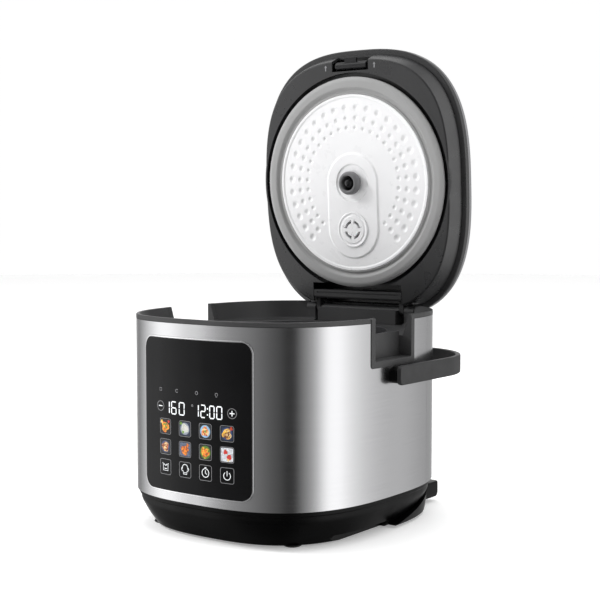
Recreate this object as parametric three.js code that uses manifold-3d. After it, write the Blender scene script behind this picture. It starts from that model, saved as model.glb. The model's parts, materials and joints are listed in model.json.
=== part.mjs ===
// Rear-hinged electric multicooker, standing on its feet, lid open.
// Millimetres, +Z up, front towards -Y. Pieces are drawn about the middle of the body.
import * as THREE from 'three';
import { mergeVertices } from 'three/addons/utils/BufferGeometryUtils.js';
import Module from 'manifold-3d';

const wasm = await Module();
wasm.setup();

// ---------------------------------------------------------------- driving dimensions
const HALF_WIDTH = 140;          // body, left to right
const HALF_DEPTH = 156.4;        // body, front to back
const SQUARENESS = 2.835;        // superellipse exponent of every outline
const SIDES = 36;                // facets round the body
const GAP = 0.3;                 // between pieces that touch

const STEEL_LOW = 39;            // lower edge of the steel wrap
const STEEL_TOP = 219.4;
const STEEL = 1.0;               // sheet thickness
const SEAM_Y = 71;               // where the front wrap meets the rear wrap
const RIM_TOP = 224.4;           // top of the collar
const DECK_TOP = 201.8;          // ledge that carries the pot
const DECK_LOW = 199;

const POT_Y = -4.2;              // the cooking well sits a little forward
const WELL_R = 115.5;
const POT_R = 111.2;
const POT_RIM_R = 118.2;
const POT_LOW = 62.7;
const POT_TOP = 203.9;

const HINGE = { y: 144.1, z: 216.9 };
const LID_OPEN = THREE.MathUtils.degToRad(86.7);
const KNUCKLE_IN = 55.4;
const KNUCKLE_OUT = 61;
const COVER_HALF = 54.5;         // hinge cover, half width
const SHAFT_R = 1.8;

const SEAL_LOW = 204.4;          // lid heights are given closed
const TRIM_LOW = 207.4;
const PARTING = 225.4;           // where the lid shell meets the collar
const PLATE_LOW = 231.9;
const LID_TOP = 246;
const SHELL_REAR = 141;          // flat rear end of the lid shell
const SKIRT_REAR = 135.5;        // flat rear end of the lid liner
const CUTOUT_Y = 113.8;          // front edge of the liner's hinge cut-out
const SEAL_R = 121.3;
const INNER_LID_R = 101.4;
const PORT_Y = POT_Y + 54;       // steam port, behind the middle of the inner lid

const NOTCH = { front: -44.4, rear: 36.4, floor: 174, wall: 6.5, inner: 119.8, lip: 206.3 };
const PIVOT = { y: -3, z: 164.6 };
const BAIL = { x: 152, y: 173.5, corner: 85, thick: 5.5, half: 10 };
const PANEL = { half: 69, low: 49.6, top: 204.2, corner: 11, thick: 1.3 };
const FEET = [['front_left', -86, -106], ['front_right', 86, -106],
  ['rear_left', -86, 100], ['rear_right', 86, 100]];

// ---------------------------------------------------------------- solids
function signedVolume(vertices, triangles) {
  const at = (k) => new THREE.Vector3().fromArray(vertices, 3 * k);
  let sum = 0;
  for (let i = 0; i < triangles.length; i += 3) {
    sum += at(triangles[i]).dot(at(triangles[i + 1]).cross(at(triangles[i + 2])));
  }
  return sum;
}

// A closed three.js geometry as a solid with its faces pointing out.
function solid(geometry) {
  const bare = geometry.clone();
  bare.deleteAttribute('normal');
  bare.deleteAttribute('uv');
  const merged = mergeVertices(bare, 1e-4);
  const corners = merged.index.array;
  const vertProperties = new Float32Array(merged.attributes.position.array);
  const kept = [];
  for (let i = 0; i < corners.length; i += 3) {
    const [a, b, c] = corners.slice(i, i + 3);
    if (a !== b && b !== c && c !== a) kept.push(a, b, c);
  }
  if (signedVolume(vertProperties, kept) < 0) kept.reverse();
  const triVerts = new Uint32Array(kept);
  return new wasm.Manifold(new wasm.Mesh({ numProp: 3, vertProperties, triVerts }));
}

const join = (first, ...rest) => rest.reduce((sum, piece) => sum.add(piece), first);
const cut = (first, ...rest) => rest.reduce((left, piece) => left.subtract(piece), first);

function box([x0, x1], [y0, y1], [z0, z1]) {
  const geometry = new THREE.BoxGeometry(x1 - x0, y1 - y0, z1 - z0);
  return solid(geometry.translate((x0 + x1) / 2, (y0 + y1) / 2, (z0 + z1) / 2));
}

// The same box on the left and on the right.
function boxPair([x0, x1], y, z) {
  return join(box([x0, x1], y, z), box([-x1, -x0], y, z));
}

// A solid turned about a vertical axis at (0, y): points are [radius, height].
function turned(points, y = 0, x = 0, sides = 24) {
  const profile = points.map(([r, z]) => new THREE.Vector2(r, z));
  const closed = points[0][0] > 0 || points.at(-1)[0] > 0;
  if (closed) profile.push(profile[0].clone());
  const geometry = new THREE.LatheGeometry(profile, sides);
  return solid(geometry.rotateX(Math.PI / 2).translate(x, y, 0));
}

const disc = (r, [z0, z1], y = 0, x = 0, sides = 24) =>
  turned([[0, z0], [r, z0], [r, z1], [0, z1]], y, x, sides);
const ring = (r0, r1, [z0, z1], y = 0, x = 0, sides = 24) =>
  turned([[r0, z0], [r1, z0], [r1, z1], [r0, z1]], y, x, sides);

// A rod along X.
function rod(r, [x0, x1], y, z, sides = 32) {
  const geometry = new THREE.CylinderGeometry(r, r, x1 - x0, sides).rotateZ(Math.PI / 2);
  return solid(geometry.translate((x0 + x1) / 2, y, z));
}

// The body's rounded plan shape. Points are [inset from the outline, height];
// an inset of CENTRE lies on the middle axis.
const CENTRE = Infinity;
const REACH = 400;
const powerOf = (t) => Math.sign(t) * Math.abs(t) ** (2 / SQUARENESS);

function shaped(points) {
  const profile = points.map(([inset, z]) => new THREE.Vector2(inset === CENTRE ? 0 : REACH - inset, z));
  if (points[0][0] !== CENTRE) profile.push(profile[0].clone());
  const geometry = new THREE.LatheGeometry(profile, SIDES).rotateX(Math.PI / 2);
  const place = geometry.attributes.position;
  for (let i = 0; i < place.count; i += 1) {
    const radius = Math.hypot(place.getX(i), place.getY(i));
    if (radius < 1e-6) continue;
    const inset = REACH - radius;
    const across = powerOf(place.getX(i) / radius);
    const along = powerOf(place.getY(i) / radius);
    place.setXY(i, (HALF_WIDTH - inset) * across, (HALF_DEPTH - inset) * along);
  }
  return solid(geometry);
}

const slab = (inset, [z0, z1]) =>
  shaped([[CENTRE, z0], [inset, z0], [inset, z1], [CENTRE, z1]]);
const band = (outer, inner, [z0, z1]) =>
  shaped([[outer, z0], [outer, z1], [inner, z1], [inner, z0]]);

function roundedShape(x, y, corner) {
  const shape = new THREE.Shape();
  shape.moveTo(-x + corner, -y);
  shape.absarc(x - corner, -y + corner, corner, -Math.PI / 2, 0);
  shape.absarc(x - corner, y - corner, corner, 0, Math.PI / 2);
  shape.absarc(-x + corner, y - corner, corner, Math.PI / 2, Math.PI);
  shape.absarc(-x + corner, -y + corner, corner, Math.PI, 1.5 * Math.PI);
  return shape;
}

// A rounded slab lying flat, centred on (x, y).
function pad(halfX, halfY, corner, [z0, z1], y = 0, x = 0, curveSegments = 8) {
  const shape = roundedShape(halfX, halfY, corner);
  const options = { depth: z1 - z0, bevelEnabled: false, curveSegments };
  const geometry = new THREE.ExtrudeGeometry(shape, options);
  return solid(geometry.translate(x, y, z0));
}

// A rounded block standing across the front of the body.
function frontPad(halfX, [z0, z1], corner, [y0, y1]) {
  const shape = roundedShape(halfX, (z1 - z0) / 2, corner);
  const options = { depth: y1 - y0, bevelEnabled: false, curveSegments: 6 };
  const geometry = new THREE.ExtrudeGeometry(shape, options);
  return solid(geometry.rotateX(Math.PI / 2).translate(0, y1, (z0 + z1) / 2));
}

class Helix extends THREE.Curve {
  constructor(radius, length, turns) {
    super();
    Object.assign(this, { radius, length, turns });
  }

  getPoint(t, target = new THREE.Vector3()) {
    const angle = 2 * Math.PI * this.turns * t;
    return target.set(this.radius * Math.cos(angle), this.radius * Math.sin(angle), this.length * t);
  }
}

// A coil spring standing on the origin.
function coil(radius, wire, length, turns) {
  const section = new THREE.Shape().absarc(0, 0, wire, 0, 2 * Math.PI);
  const path = new Helix(radius, length - 2 * wire, turns);
  const geometry = new THREE.ExtrudeGeometry(section, {
    steps: 8 * turns, extrudePath: path, curveSegments: 2, bevelEnabled: false,
  });
  return solid(geometry.translate(0, 0, wire));
}

// ---------------------------------------------------------------- the scene graph
const cooker = new THREE.Group();
const lid = new THREE.Group();
lid.position.set(0, HINGE.y, HINGE.z);
lid.rotation.x = -LID_OPEN;
cooker.add(lid);

function meshOf(name, piece, finish) {
  const { vertProperties, triVerts } = piece.getMesh();
  const geometry = new THREE.BufferGeometry();
  geometry.setAttribute('position', new THREE.BufferAttribute(vertProperties, 3));
  geometry.setIndex(new THREE.BufferAttribute(triVerts, 1));
  geometry.computeVertexNormals();
  const mesh = new THREE.Mesh(geometry, new THREE.MeshStandardMaterial(finish));
  mesh.name = name;
  return mesh;
}

const onBody = (name, piece, finish) => cooker.add(meshOf(name, piece, finish));

// Lid pieces are drawn closed and hang on the hinge axis.
function onLid(name, piece, finish) {
  const mesh = meshOf(name, piece, finish);
  mesh.position.set(0, -HINGE.y, -HINGE.z);
  lid.add(mesh);
}

const blackPlastic = { color: 0x111112, roughness: 0.42, metalness: 0 };
const darkPlastic = { color: 0x2b2b2d, roughness: 0.48, metalness: 0 };
const greyPlastic = { color: 0x3a3a3c, roughness: 0.55, metalness: 0 };
const brushedSteel = { color: 0xb9b9ba, roughness: 0.32, metalness: 1 };
const brightMetal = { color: 0xe4e4e6, roughness: 0.22, metalness: 1 };
const whiteEnamel = { color: 0xe9eaec, roughness: 0.25, metalness: 0.2 };
const aluminium = { color: 0xc3c4c6, roughness: 0.4, metalness: 1 };
const silicone = { color: 0x9b9c9d, roughness: 0.6, metalness: 0 };
const rubber = { color: 0x1a1a1a, roughness: 0.8, metalness: 0 };
const glossBlack = { color: 0x0c0c0d, roughness: 0.08, metalness: 0 };
const nonStick = { color: 0x232325, roughness: 0.5, metalness: 0.1 };
const circuitGreen = { color: 0x1d5a37, roughness: 0.5, metalness: 0 };

// The space inside the collar, which tapers towards the ledge.
const COLLAR_LIP = 3;
const COLLAR_FOOT = 9.5;
const collarSpace = shaped([[CENTRE, DECK_TOP], [COLLAR_FOOT, DECK_TOP], [COLLAR_FOOT, DECK_TOP + 1.7],
  [COLLAR_LIP, RIM_TOP], [COLLAR_LIP, RIM_TOP + 20], [CENTRE, RIM_TOP + 20]]);

// ---------------------------------------------------------------- base
const ARCH = { front: -78, rear: 12, top: 9, inner: 113 };
const INLET = { half: 14, low: 12, top: 32, front: 138 };
const SCREW_SPOTS = [['front_left', -104, -34], ['front_right', 104, -34],
  ['rear_left', -104, 34], ['rear_right', 104, 34]];

function addBase() {
  const wall = shaped([[38, 2.5], [20, 2.5], [13, 6], [8, 14], [5, 26], [4, 38.7], [4, 44],
    [6.5, 44], [7, 30], [11, 16], [18, 11], [28, 11], [28, 5.3], [38, 5.3]]);
  const heelRing = shaped([[5.2, 25], [7.5, 3], [21, 3], [15, 8], [9.5, 14.5], [6.5, 25]]);
  const aboveHeel = box([-200, 200], [-400, 300], [0, 80]).rotate([12.5, 0, 0]).translate([0, 15, 3]);
  const heels = cut(heelRing, aboveHeel, box([-45, 45], [0, 200], [0, 50]));
  const bumper = pad(11, 18.5, 6, [5, 23.5], 141, 88, 3);
  const bumpers = join(bumper, bumper.mirror([1, 0, 0]));
  const arches = boxPair([ARCH.inner, HALF_WIDTH], [ARCH.front, ARCH.rear], [0, ARCH.top]);
  const inletHole = box([-INLET.half, INLET.half], [INLET.front, 170], [INLET.low, INLET.top]);
  const screwHoles = SCREW_SPOTS.map(([, x, y]) => disc(3.4, [0, 6], y, x, 16));
  onBody('base_shell', cut(join(wall, heels, bumpers), arches, inletHole, ...screwHoles), blackPlastic);

  const slots = [-60, -36, -12, 12, 36, 60].map((y) => pad(32, 3, 2.9, [0, 12], y, 0, 2));
  onBody('bottom_cover', cut(slab(30, [5.6, 7.8]), ...slots), blackPlastic);

  for (const [corner, x, y] of FEET) {
    const foot = turned([[0, 0], [8.2, 0], [9.6, 1], [9.6, 2.2], [0, 2.2]], y, x, 24);
    onBody(`foot_${corner}`, foot, rubber);
  }
  for (const [corner, x, y] of SCREW_SPOTS) {
    const head = cut(disc(3, [2.7, 5.2], y, x, 16), box([x - 2, x + 2], [y - 0.4, y + 0.4], [2, 3.5]));
    onBody(`cover_screw_${corner}`, head, brightMetal);
  }
}

function addInlet() {
  const { half, low, top, front } = INLET;
  const body = box([-half + GAP, half - GAP], [front + GAP, 152], [low + GAP, top - GAP]);
  const socket = box([-10.5, 10.5], [front + 3, 160], [15, 29]);
  const blade = ([x, z]) => box([x - 1, x + 1], [front + 2, 148], [z - 2, z + 2]);
  const blades = [[-6, 20], [0, 25], [6, 20]].map(blade);
  onBody('power_inlet', join(cut(body, socket), ...blades), blackPlastic);
}

// ---------------------------------------------------------------- steel wrap and collar
const PIVOT_HOLE_R = 6;
const REAR_DIP = 73.5;           // the collar is lower between these, for the open lid

function addWrap() {
  const sheet = band(0, STEEL, [STEEL_LOW, STEEL_TOP]);
  const notches = boxPair([100, 150], [NOTCH.front - GAP, NOTCH.rear + GAP], [NOTCH.floor - GAP, 230]);
  const window = frontPad(60, [60, 190], 6, [-170, -100]);
  const pivotHoles = rod(PIVOT_HOLE_R, [-150, 150], PIVOT.y, PIVOT.z);
  const rearHalf = box([-200, 200], [SEAM_Y - GAP / 2, 200], [0, 300]);
  const frontHalf = box([-200, 200], [-200, SEAM_Y + GAP / 2], [0, 300]);
  onBody('steel_wrap_front', cut(sheet, notches, window, pivotHoles, rearHalf), brushedSteel);
  onBody('steel_wrap_rear', cut(sheet, frontHalf), brushedSteel);
}

function addCollar() {
  const wall = shaped([[0, STEEL_TOP + GAP], [0, RIM_TOP - 1], [1, RIM_TOP], [COLLAR_LIP, RIM_TOP],
    [COLLAR_FOOT, DECK_TOP + 1.7], [COLLAR_FOOT, DECK_LOW], [1.4, DECK_LOW], [1.4, STEEL_TOP + GAP]]);
  const deck = cut(slab(8, [DECK_LOW, DECK_TOP]), disc(WELL_R, [190, 210], POT_Y, 0, 36));
  const notches = boxPair([NOTCH.inner - GAP, 150], [NOTCH.front - GAP, NOTCH.rear + GAP], [190, 230]);
  const hingeBay = box([-61.8, 61.8], [130, 170], [DECK_TOP, 230]);
  const dip = box([-REAR_DIP, REAR_DIP], [130, 170], [STEEL_TOP, 230]);
  onBody('collar', cut(join(wall, deck), notches, hingeBay, dip), darkPlastic);

  const keeper = box([-11, 11], [-148.9, -148.1], [212, 215]);
  onBody('latch_keeper', keeper, brightMetal);
}

function gripPocket() {
  const { front, rear, floor, wall, inner, lip } = NOTCH;
  const block = box([inner, 150], [front, rear], [floor, RIM_TOP]);
  const outer = slab(-0.7, [floor, RIM_TOP]).intersect(block);
  const between = [front + wall, rear - wall];
  const hollow = box([inner + 3.8, 160], between, [floor + wall, 240]);
  const overLedge = box([inner - 1, inner + 2.2], between, [DECK_TOP, 240]);
  const overLip = box([inner + 2, inner + 4], between, [lip, 240]);
  const space = cut(collarSpace, box([inner + 2.2, 150], between, [floor, lip]));
  return cut(outer, hollow, overLedge, overLip, space);
}

function addGripPockets() {
  const right = gripPocket();
  onBody('grip_pocket_right', right, darkPlastic);
  onBody('grip_pocket_left', right.mirror([1, 0, 0]), darkPlastic);
}

// ---------------------------------------------------------------- cooking well
function addWell() {
  const shield = turned([[30, 44], [106, 44], [113.6, 52], [114.8, 198.6], [113.8, 198.6],
    [112.6, 52.6], [105.6, 45.2], [30, 45.2]], POT_Y, 0, 36);
  onBody('heat_shield', shield, aluminium);
  onBody('heating_plate', ring(19, 84, [50.5, 62.3], POT_Y, 0, 36), aluminium);
  onBody('sensor_bracket', ring(5.6, 29.4, [41, 43.4], POT_Y, 0, 24), aluminium);
  const plunger = join(disc(16, [58, 62.3], POT_Y, 0, 24), disc(5, [37, 58.5], POT_Y, 0, 24));
  onBody('sensor_plunger', plunger, aluminium);
  onBody('sensor_spring', coil(9, 0.8, 13.8, 4).translate([0, POT_Y, 43.8]), brightMetal);
  const pot = turned([[0, POT_LOW], [100, POT_LOW], [108, 66], [POT_R - 0.4, 75], [POT_R, DECK_TOP + GAP],
    [POT_RIM_R, DECK_TOP + GAP], [POT_RIM_R, POT_TOP], [POT_R - 1.8, POT_TOP], [POT_R - 2.2, 76],
    [106, 68.2], [99, 65.2], [0, 65.2]], POT_Y, 0, 36);
  onBody('inner_pot', pot, nonStick);
}

// ---------------------------------------------------------------- electronics and control panel
function addElectronics() {
  const board = box([-62, 62], [-52, 44], [14, 15.6]);
  const parts = [[-40, -24, 18], [10, -30, 14], [36, 18, 20], [-20, 22, 12]].map(([x, y, tall]) =>
    box([x - 10, x + 10], [y - 8, y + 8], [15, 15.6 + tall]));
  onBody('power_board', join(board, ...parts), circuitGreen);
  const display = box([-58, 58], [-141, -139.4], [66, 190]);
  const glassCell = box([-44, 44], [-143.4, -140.5], [118, 150]);
  const chip = box([-12, 12], [-140, -136.8], [84, 104]);
  onBody('display_board', join(display, glassCell, chip), circuitGreen);
}

function addPanel() {
  const { half, low, top, corner, thick } = PANEL;
  const proud = -GAP - thick;
  const sheet = band(proud, -GAP, [low - 20, top + 10]);
  const face = frontPad(half, [low, top], corner, [-180, -100]);
  onBody('control_panel', sheet.intersect(face), glossBlack);

  const edge = 1.3;
  const [rimLow, rimTop] = [low - GAP - edge, top + GAP + edge];
  const around = frontPad(half + GAP + edge, [rimLow, rimTop], corner + edge, [-180, -100]);
  const inside = frontPad(half + GAP, [low - GAP, top + GAP], corner, [-190, -90]);
  const rim = band(proud + 0.3, -GAP, [low - 20, top + 10]);
  onBody('panel_bezel', rim.intersect(cut(around, inside)), brightMetal);

  const front = box([-68, 68], [-180, -100], [40, 220]);
  const carrier = band(STEEL + 0.4, 4, [52, DECK_LOW - 1]).intersect(front);
  onBody('panel_carrier', cut(carrier, frontPad(50, [70, 184], 5, [-180, -100])), blackPlastic);
}

// ---------------------------------------------------------------- hinge
function addHinge() {
  const low = DECK_TOP + GAP;
  const ledge = box([-COVER_HALF, COVER_HALF], [133, 170], [low, 217.9]);
  const barrel = rod(4.8, [-COVER_HALF, COVER_HALF], HINGE.y, HINGE.z);
  const outer = join(ledge, barrel).intersect(slab(STEEL + 0.4, [low, 230]));
  const within = [-COVER_HALF + 3, COVER_HALF - 3];
  const hollow = box(within, [136, 151], [low - 1, 212]);
  const springWay = box(within, [141, 147], [205, HINGE.z]);
  const bore = join(rod(SHAFT_R + GAP, [-60, 60], HINGE.y, HINGE.z), rod(3.8, within, HINGE.y, HINGE.z));
  onBody('hinge_cover', cut(outer, hollow, bore, springWay), darkPlastic);
  const shaft = rod(SHAFT_R, [-KNUCKLE_OUT + 0.5, KNUCKLE_OUT - 0.5], HINGE.y, HINGE.z);
  onBody('hinge_shaft', shaft, brightMetal);
  for (const [side, x] of [['left', -44], ['right', 26]]) {
    const spring = coil(2.9, 0.5, 18, 6).rotate([0, 90, 0]).translate([x, HINGE.y, HINGE.z]);
    onBody(`torsion_spring_${side}`, spring, brightMetal);
  }
}

// ---------------------------------------------------------------- carrying handle
// Plan of the bail between its outer and inner edges, open towards the front.
function bailPlan(x, y, corner) {
  const shape = new THREE.Shape();
  shape.moveTo(-x, PIVOT.y);
  shape.lineTo(x, PIVOT.y);
  shape.absarc(x - corner, y - corner, corner, 0, Math.PI / 2);
  shape.absarc(-x + corner, y - corner, corner, Math.PI / 2, Math.PI);
  const depth = 2 * BAIL.half;
  const geometry = new THREE.ExtrudeGeometry(shape, { depth, bevelEnabled: false, curveSegments: 9 });
  return solid(geometry.translate(0, 0, PIVOT.z - BAIL.half));
}

function addHandle() {
  const { x, y, corner, thick, half } = BAIL;
  const span = bailPlan(x, y, corner);
  const rightEnd = rod(half, [x - thick, x], PIVOT.y, PIVOT.z);
  const ends = join(rightEnd, rightEnd.mirror([1, 0, 0]));
  const inner = bailPlan(x - thick, y - thick, corner - thick).scale([1, 1, 1.2])
    .translate([0, 0, -0.2 * PIVOT.z]);
  const sockets = rod(2.9, [-x + 1.7, x - 1.7], PIVOT.y, PIVOT.z, 24);
  const bail = cut(span, inner, box([-x + thick, x - thick], [PIVOT.y - 5, PIVOT.y + 5], [140, 190]));
  onBody('handle_bail', cut(join(bail, ends), sockets), greyPlastic);

  const disk = rod(8.8, [HALF_WIDTH + GAP, x - thick - GAP], PIVOT.y, PIVOT.z);
  const root = rod(5.6, [130, HALF_WIDTH + 1], PIVOT.y, PIVOT.z);
  const stub = rod(2.6, [x - thick - 1, x - 2.2], PIVOT.y, PIVOT.z, 24);
  const boss = join(disk, root, stub);
  onBody('pivot_boss_right', boss, blackPlastic);
  onBody('pivot_boss_left', boss.mirror([1, 0, 0]), blackPlastic);
}

// ---------------------------------------------------------------- lid
const BUTTON_Y = -118;
const VENT_R = 19;
const LATCH = { half: 25, rear: -131.5, pinY: -136, pinZ: 217 };

const behind = (y, half = 200) => box([-half, half], [y, 200], [150, 300]);

function addLidShell() {
  const rim = shaped([[0, PARTING], [0, 231.6], [3, 231.6], [3, 234.5], [6, 234.5], [6, 228],
    [14, 228], [14, PARTING]]);
  const rearWall = box([-120, 120], [SHELL_REAR - 2, SHELL_REAR + 1], [PARTING, 239.8])
    .intersect(slab(8, [PARTING, 239.8]));
  onLid('lid_shell', cut(join(rim, rearWall), behind(SHELL_REAR)), darkPlastic);

  const plate = shaped([[CENTRE, LID_TOP - 1.2], [40, 243.8], [14, 242], [5.2, 240], [2.6, 238.2],
    [1.4, 236], [1.4, PLATE_LOW], [0.2, PLATE_LOW], [0.2, 236.5], [1.5, 239.2], [4.5, 241.2],
    [14, 243.2], [40, 245], [CENTRE, LID_TOP]]);
  const buttonHole = pad(22.4, 9.4, 9.3, [230, 260], BUTTON_Y);
  const ventHole = disc(14.6, [230, 260], PORT_Y);
  onLid('lid_top_plate', cut(plate, behind(SHELL_REAR), buttonHole, ventHole), brushedSteel);
}

function addLidLiner() {
  const well = 126;
  const skirt = shaped([[12, TRIM_LOW], [11.3, TRIM_LOW + 1.4], [5.8, 224.9], [8.2, 224.9], [14, 209.8],
    [14, TRIM_LOW]]);
  const face = cut(slab(13, [TRIM_LOW, 209.8]), disc(well, [200, 215], POT_Y, 0, 36));
  const wellWall = ring(well, well + 2, [TRIM_LOW, 219.2], POT_Y, 0, 36);
  const wellFloor = disc(well + 1, [217, 219.2], POT_Y, 0, 36);
  const within = slab(9, [TRIM_LOW, 225]);
  const pan = join(join(face, wellWall, wellFloor).intersect(within), skirt);
  const hingeBay = box([-KNUCKLE_OUT - 0.6, KNUCKLE_OUT + 0.6], [CUTOUT_Y, 170], [200, 230]);
  const latchBay = box([-LATCH.half, LATCH.half], [-170, LATCH.rear], [200, 222.5]);
  const steamHole = disc(13, [210, 225], PORT_Y, 0, 32);
  onLid('lid_liner', cut(pan, behind(SKIRT_REAR), hingeBay, latchBay, steamHole), darkPlastic);
  onLid('centre_post', join(disc(4.6, [198, 216.7], POT_Y, 0, 24),
    solid(new THREE.SphereGeometry(5.6, 16, 8).translate(0, POT_Y, 199))), brightMetal);
}

function addHingeBracket() {
  const bar = join(box([-KNUCKLE_OUT, KNUCKLE_OUT], [122.3, 129.4], [207.6, 222]),
    box([-KNUCKLE_OUT, KNUCKLE_OUT], [129, 132.4], [210.5, 222]),
    rod(2.9, [-KNUCKLE_OUT, KNUCKLE_OUT], 129.5, 210.5, 24));
  const knuckles = [-1, 1].map((side) => {
    const [x0, x1] = [KNUCKLE_IN * side, KNUCKLE_OUT * side].sort((a, b) => a - b);
    const arm = box([x0, x1], [130, HINGE.y], [HINGE.z - 5, HINGE.z + 5]);
    return join(arm, rod(5, [x0, x1], HINGE.y, HINGE.z));
  });
  const bore = rod(SHAFT_R + GAP, [-70, 70], HINGE.y, HINGE.z);
  onLid('hinge_bracket', cut(join(bar, ...knuckles), bore), darkPlastic);
  for (const [side, x] of [['left', -40], ['right', 40]]) {
    onLid(`bracket_screw_${side}`, disc(3.2, [222.3, 224.6], 127, x, 16), brightMetal);
  }
}

function addLatch() {
  const { pinY, pinZ } = LATCH;
  const width = [-21.5, 21.5];
  const bar = join(rod(4.6, width, -137.5, 212.6, 20), box(width, [-140, -134], [211, 219.2]));
  const hook = box([-8, 8], [-147.8, -138], [208.6, 211.4]);
  const pinHole = rod(1.8, [-30, 30], pinY, pinZ, 16);
  onLid('latch_pawl', cut(join(bar, hook), pinHole), darkPlastic);
  onLid('latch_pin', rod(1.5, [-24.5, 24.5], pinY, pinZ, 16), brightMetal);

  const cap = join(pad(22, 9, 8.9, [241.5, 246.4], BUTTON_Y), pad(14, 5, 4.9, [233, 242], BUTTON_Y));
  onLid('release_button', cap, darkPlastic);
  onLid('button_spring', coil(3.2, 0.45, 10, 4).translate([0, BUTTON_Y, 222.6]), brightMetal);
}

function addSteamValve() {
  const body = turned([[10, 219.5], [16, 219.5], [16, 222], [13.8, 222], [13.8, 241.5],
    [10, 241.5]], PORT_Y, 0, 32);
  onLid('steam_valve_body', body, darkPlastic);
  const cap = turned([[0, 246.8], [VENT_R, 246.8], [VENT_R, 250.5], [VENT_R - 2, 252.5],
    [0, 253]], PORT_Y, 0, 40);
  const stem = disc(9.4, [236, 247.5], PORT_Y, 0, 32);
  const slots = [-8, 0, 8].map((x) => pad(1.4, 8, 1.3, [249, 256], PORT_Y, x, 3));
  onLid('steam_vent_cap', cut(join(cap, stem), ...slots), greyPlastic);
}

function addInnerLid() {
  const plateLow = 206;
  const boss = pad(34, 60, 33.9, [plateLow - 1.4, plateLow + 0.6], POT_Y + 26, 0, 12);
  const plate = join(disc(INNER_LID_R, [plateLow, plateLow + 1], POT_Y, 0, 36),
    boss, ring(INNER_LID_R - 4, 106, [plateLow + 0.4, plateLow + 1.4], POT_Y, 0, 36));
  const grommetHole = disc(10.6, [190, 215], POT_Y, 0, 32);
  const portHole = disc(17, [190, 215], PORT_Y, 0, 32);
  onLid('inner_lid_plate', cut(plate, grommetHole, portHole), whiteEnamel);

  const seal = turned([[INNER_LID_R + GAP, 205], [105, SEAL_LOW], [117, SEAL_LOW], [SEAL_R, 206],
    [SEAL_R, 209.5], [117, 211.5], [104, 211.5], [104, 207.9], [106.8, 207.9], [106.8, 206.1],
    [INNER_LID_R + GAP, 206.1]], POT_Y, 0, 36);
  onLid('seal_ring', seal, silicone);

  const grommet = turned([[8.2, 195.6], [11, 194.6], [13.4, 196.6], [13.4, 204.3], [10.2, 204.3],
    [10.2, 207.4], [13, 207.4], [13, 209], [8.2, 209]], POT_Y, 0, 32);
  onLid('centre_grommet', grommet, silicone);

  const arcs = cut(ring(7.8, 10.8, [190, 215], PORT_Y, 0, 32), box([-2.2, 2.2], [0, 100], [180, 220]),
    box([-30, 30], [PORT_Y - 2.2, PORT_Y + 2.2], [180, 220]));
  const port = turned([[0, 203.2], [19.4, 203.2], [20.6, 204.3], [16.7, 204.3], [16.7, 208.4],
    [0, 208.4]], PORT_Y, 0, 32);
  onLid('steam_port', cut(port, arcs), whiteEnamel);
}

addBase();
addInlet();
addWrap();
addCollar();
addGripPockets();
addWell();
addElectronics();
addPanel();
addHinge();
addHandle();
addLidShell();
addLidLiner();
addHingeBracket();
addLatch();
addSteamValve();
addInnerLid();

// The origin is on the floor under the middle of the whole object, handle and open lid included.
const extent = new THREE.Box3().setFromObject(cooker, true);
cooker.position.y = -(extent.min.y + extent.max.y) / 2;

export default cooker;
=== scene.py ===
"""Looks of a rear-hinged electric multicooker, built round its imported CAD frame."""
import json
import math

import bmesh
import bpy
from mathutils import Matrix, Vector


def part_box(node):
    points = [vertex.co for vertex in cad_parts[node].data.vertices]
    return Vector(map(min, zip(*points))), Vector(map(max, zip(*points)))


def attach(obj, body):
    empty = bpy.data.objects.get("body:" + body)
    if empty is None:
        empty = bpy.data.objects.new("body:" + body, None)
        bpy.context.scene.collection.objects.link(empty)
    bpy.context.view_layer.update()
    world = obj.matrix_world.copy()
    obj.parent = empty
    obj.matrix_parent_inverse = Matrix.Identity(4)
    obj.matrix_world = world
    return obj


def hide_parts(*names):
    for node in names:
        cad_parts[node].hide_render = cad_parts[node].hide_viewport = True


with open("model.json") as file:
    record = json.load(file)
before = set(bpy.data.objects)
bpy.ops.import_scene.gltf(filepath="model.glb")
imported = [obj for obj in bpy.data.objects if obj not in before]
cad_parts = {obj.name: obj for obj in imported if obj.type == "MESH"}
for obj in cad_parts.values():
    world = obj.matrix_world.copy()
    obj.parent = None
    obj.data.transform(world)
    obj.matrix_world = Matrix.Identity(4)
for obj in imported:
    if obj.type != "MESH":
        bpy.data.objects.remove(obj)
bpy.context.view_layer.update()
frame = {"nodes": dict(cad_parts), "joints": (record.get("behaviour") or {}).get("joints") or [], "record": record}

# ------------------------------------------------------------------ measures, in millimetres
MM = 0.001


def edges(node, axis):
    """Lowest and highest coordinate of a CAD node along one axis."""
    low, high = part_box(node)
    return low[axis] / MM, high[axis] / MM


HALF_WIDTH = edges("collar", 0)[1]
HALF_DEPTH = (edges("collar", 1)[1] - edges("collar", 1)[0]) / 2
MIDDLE_Y = edges("steel_wrap_front", 1)[0] + HALF_DEPTH
SQUARENESS = 2.835        # superellipse exponent of the body's plan
STEEL_LOW, STEEL_TOP = edges("steel_wrap_front", 2)
RIM_TOP = edges("collar", 2)[1]
SEAM_Y = edges("steel_wrap_front", 1)[1] - MIDDLE_Y
DECK_TOP = edges("inner_pot", 2)[1] - 2.1      # ledge that carries the pot's rim
POT_Y = sum(edges("inner_pot", 1)) / 2 - MIDDLE_Y
POT_RIM_R = edges("inner_pot", 0)[1]
POT_LOW, POT_TOP = edges("inner_pot", 2)
WELL_R = 115.5
NOTCH_FRONT, NOTCH_REAR = (y - MIDDLE_Y for y in edges("grip_pocket_right", 1))
NOTCH_FLOOR = edges("grip_pocket_right", 2)[0]
NOTCH_INNER = edges("grip_pocket_right", 0)[0]
JOINTS = {joint["name"]: joint for joint in frame["joints"]}
HINGE = Vector(JOINTS["lid_hinge"]["pos_m"])
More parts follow.
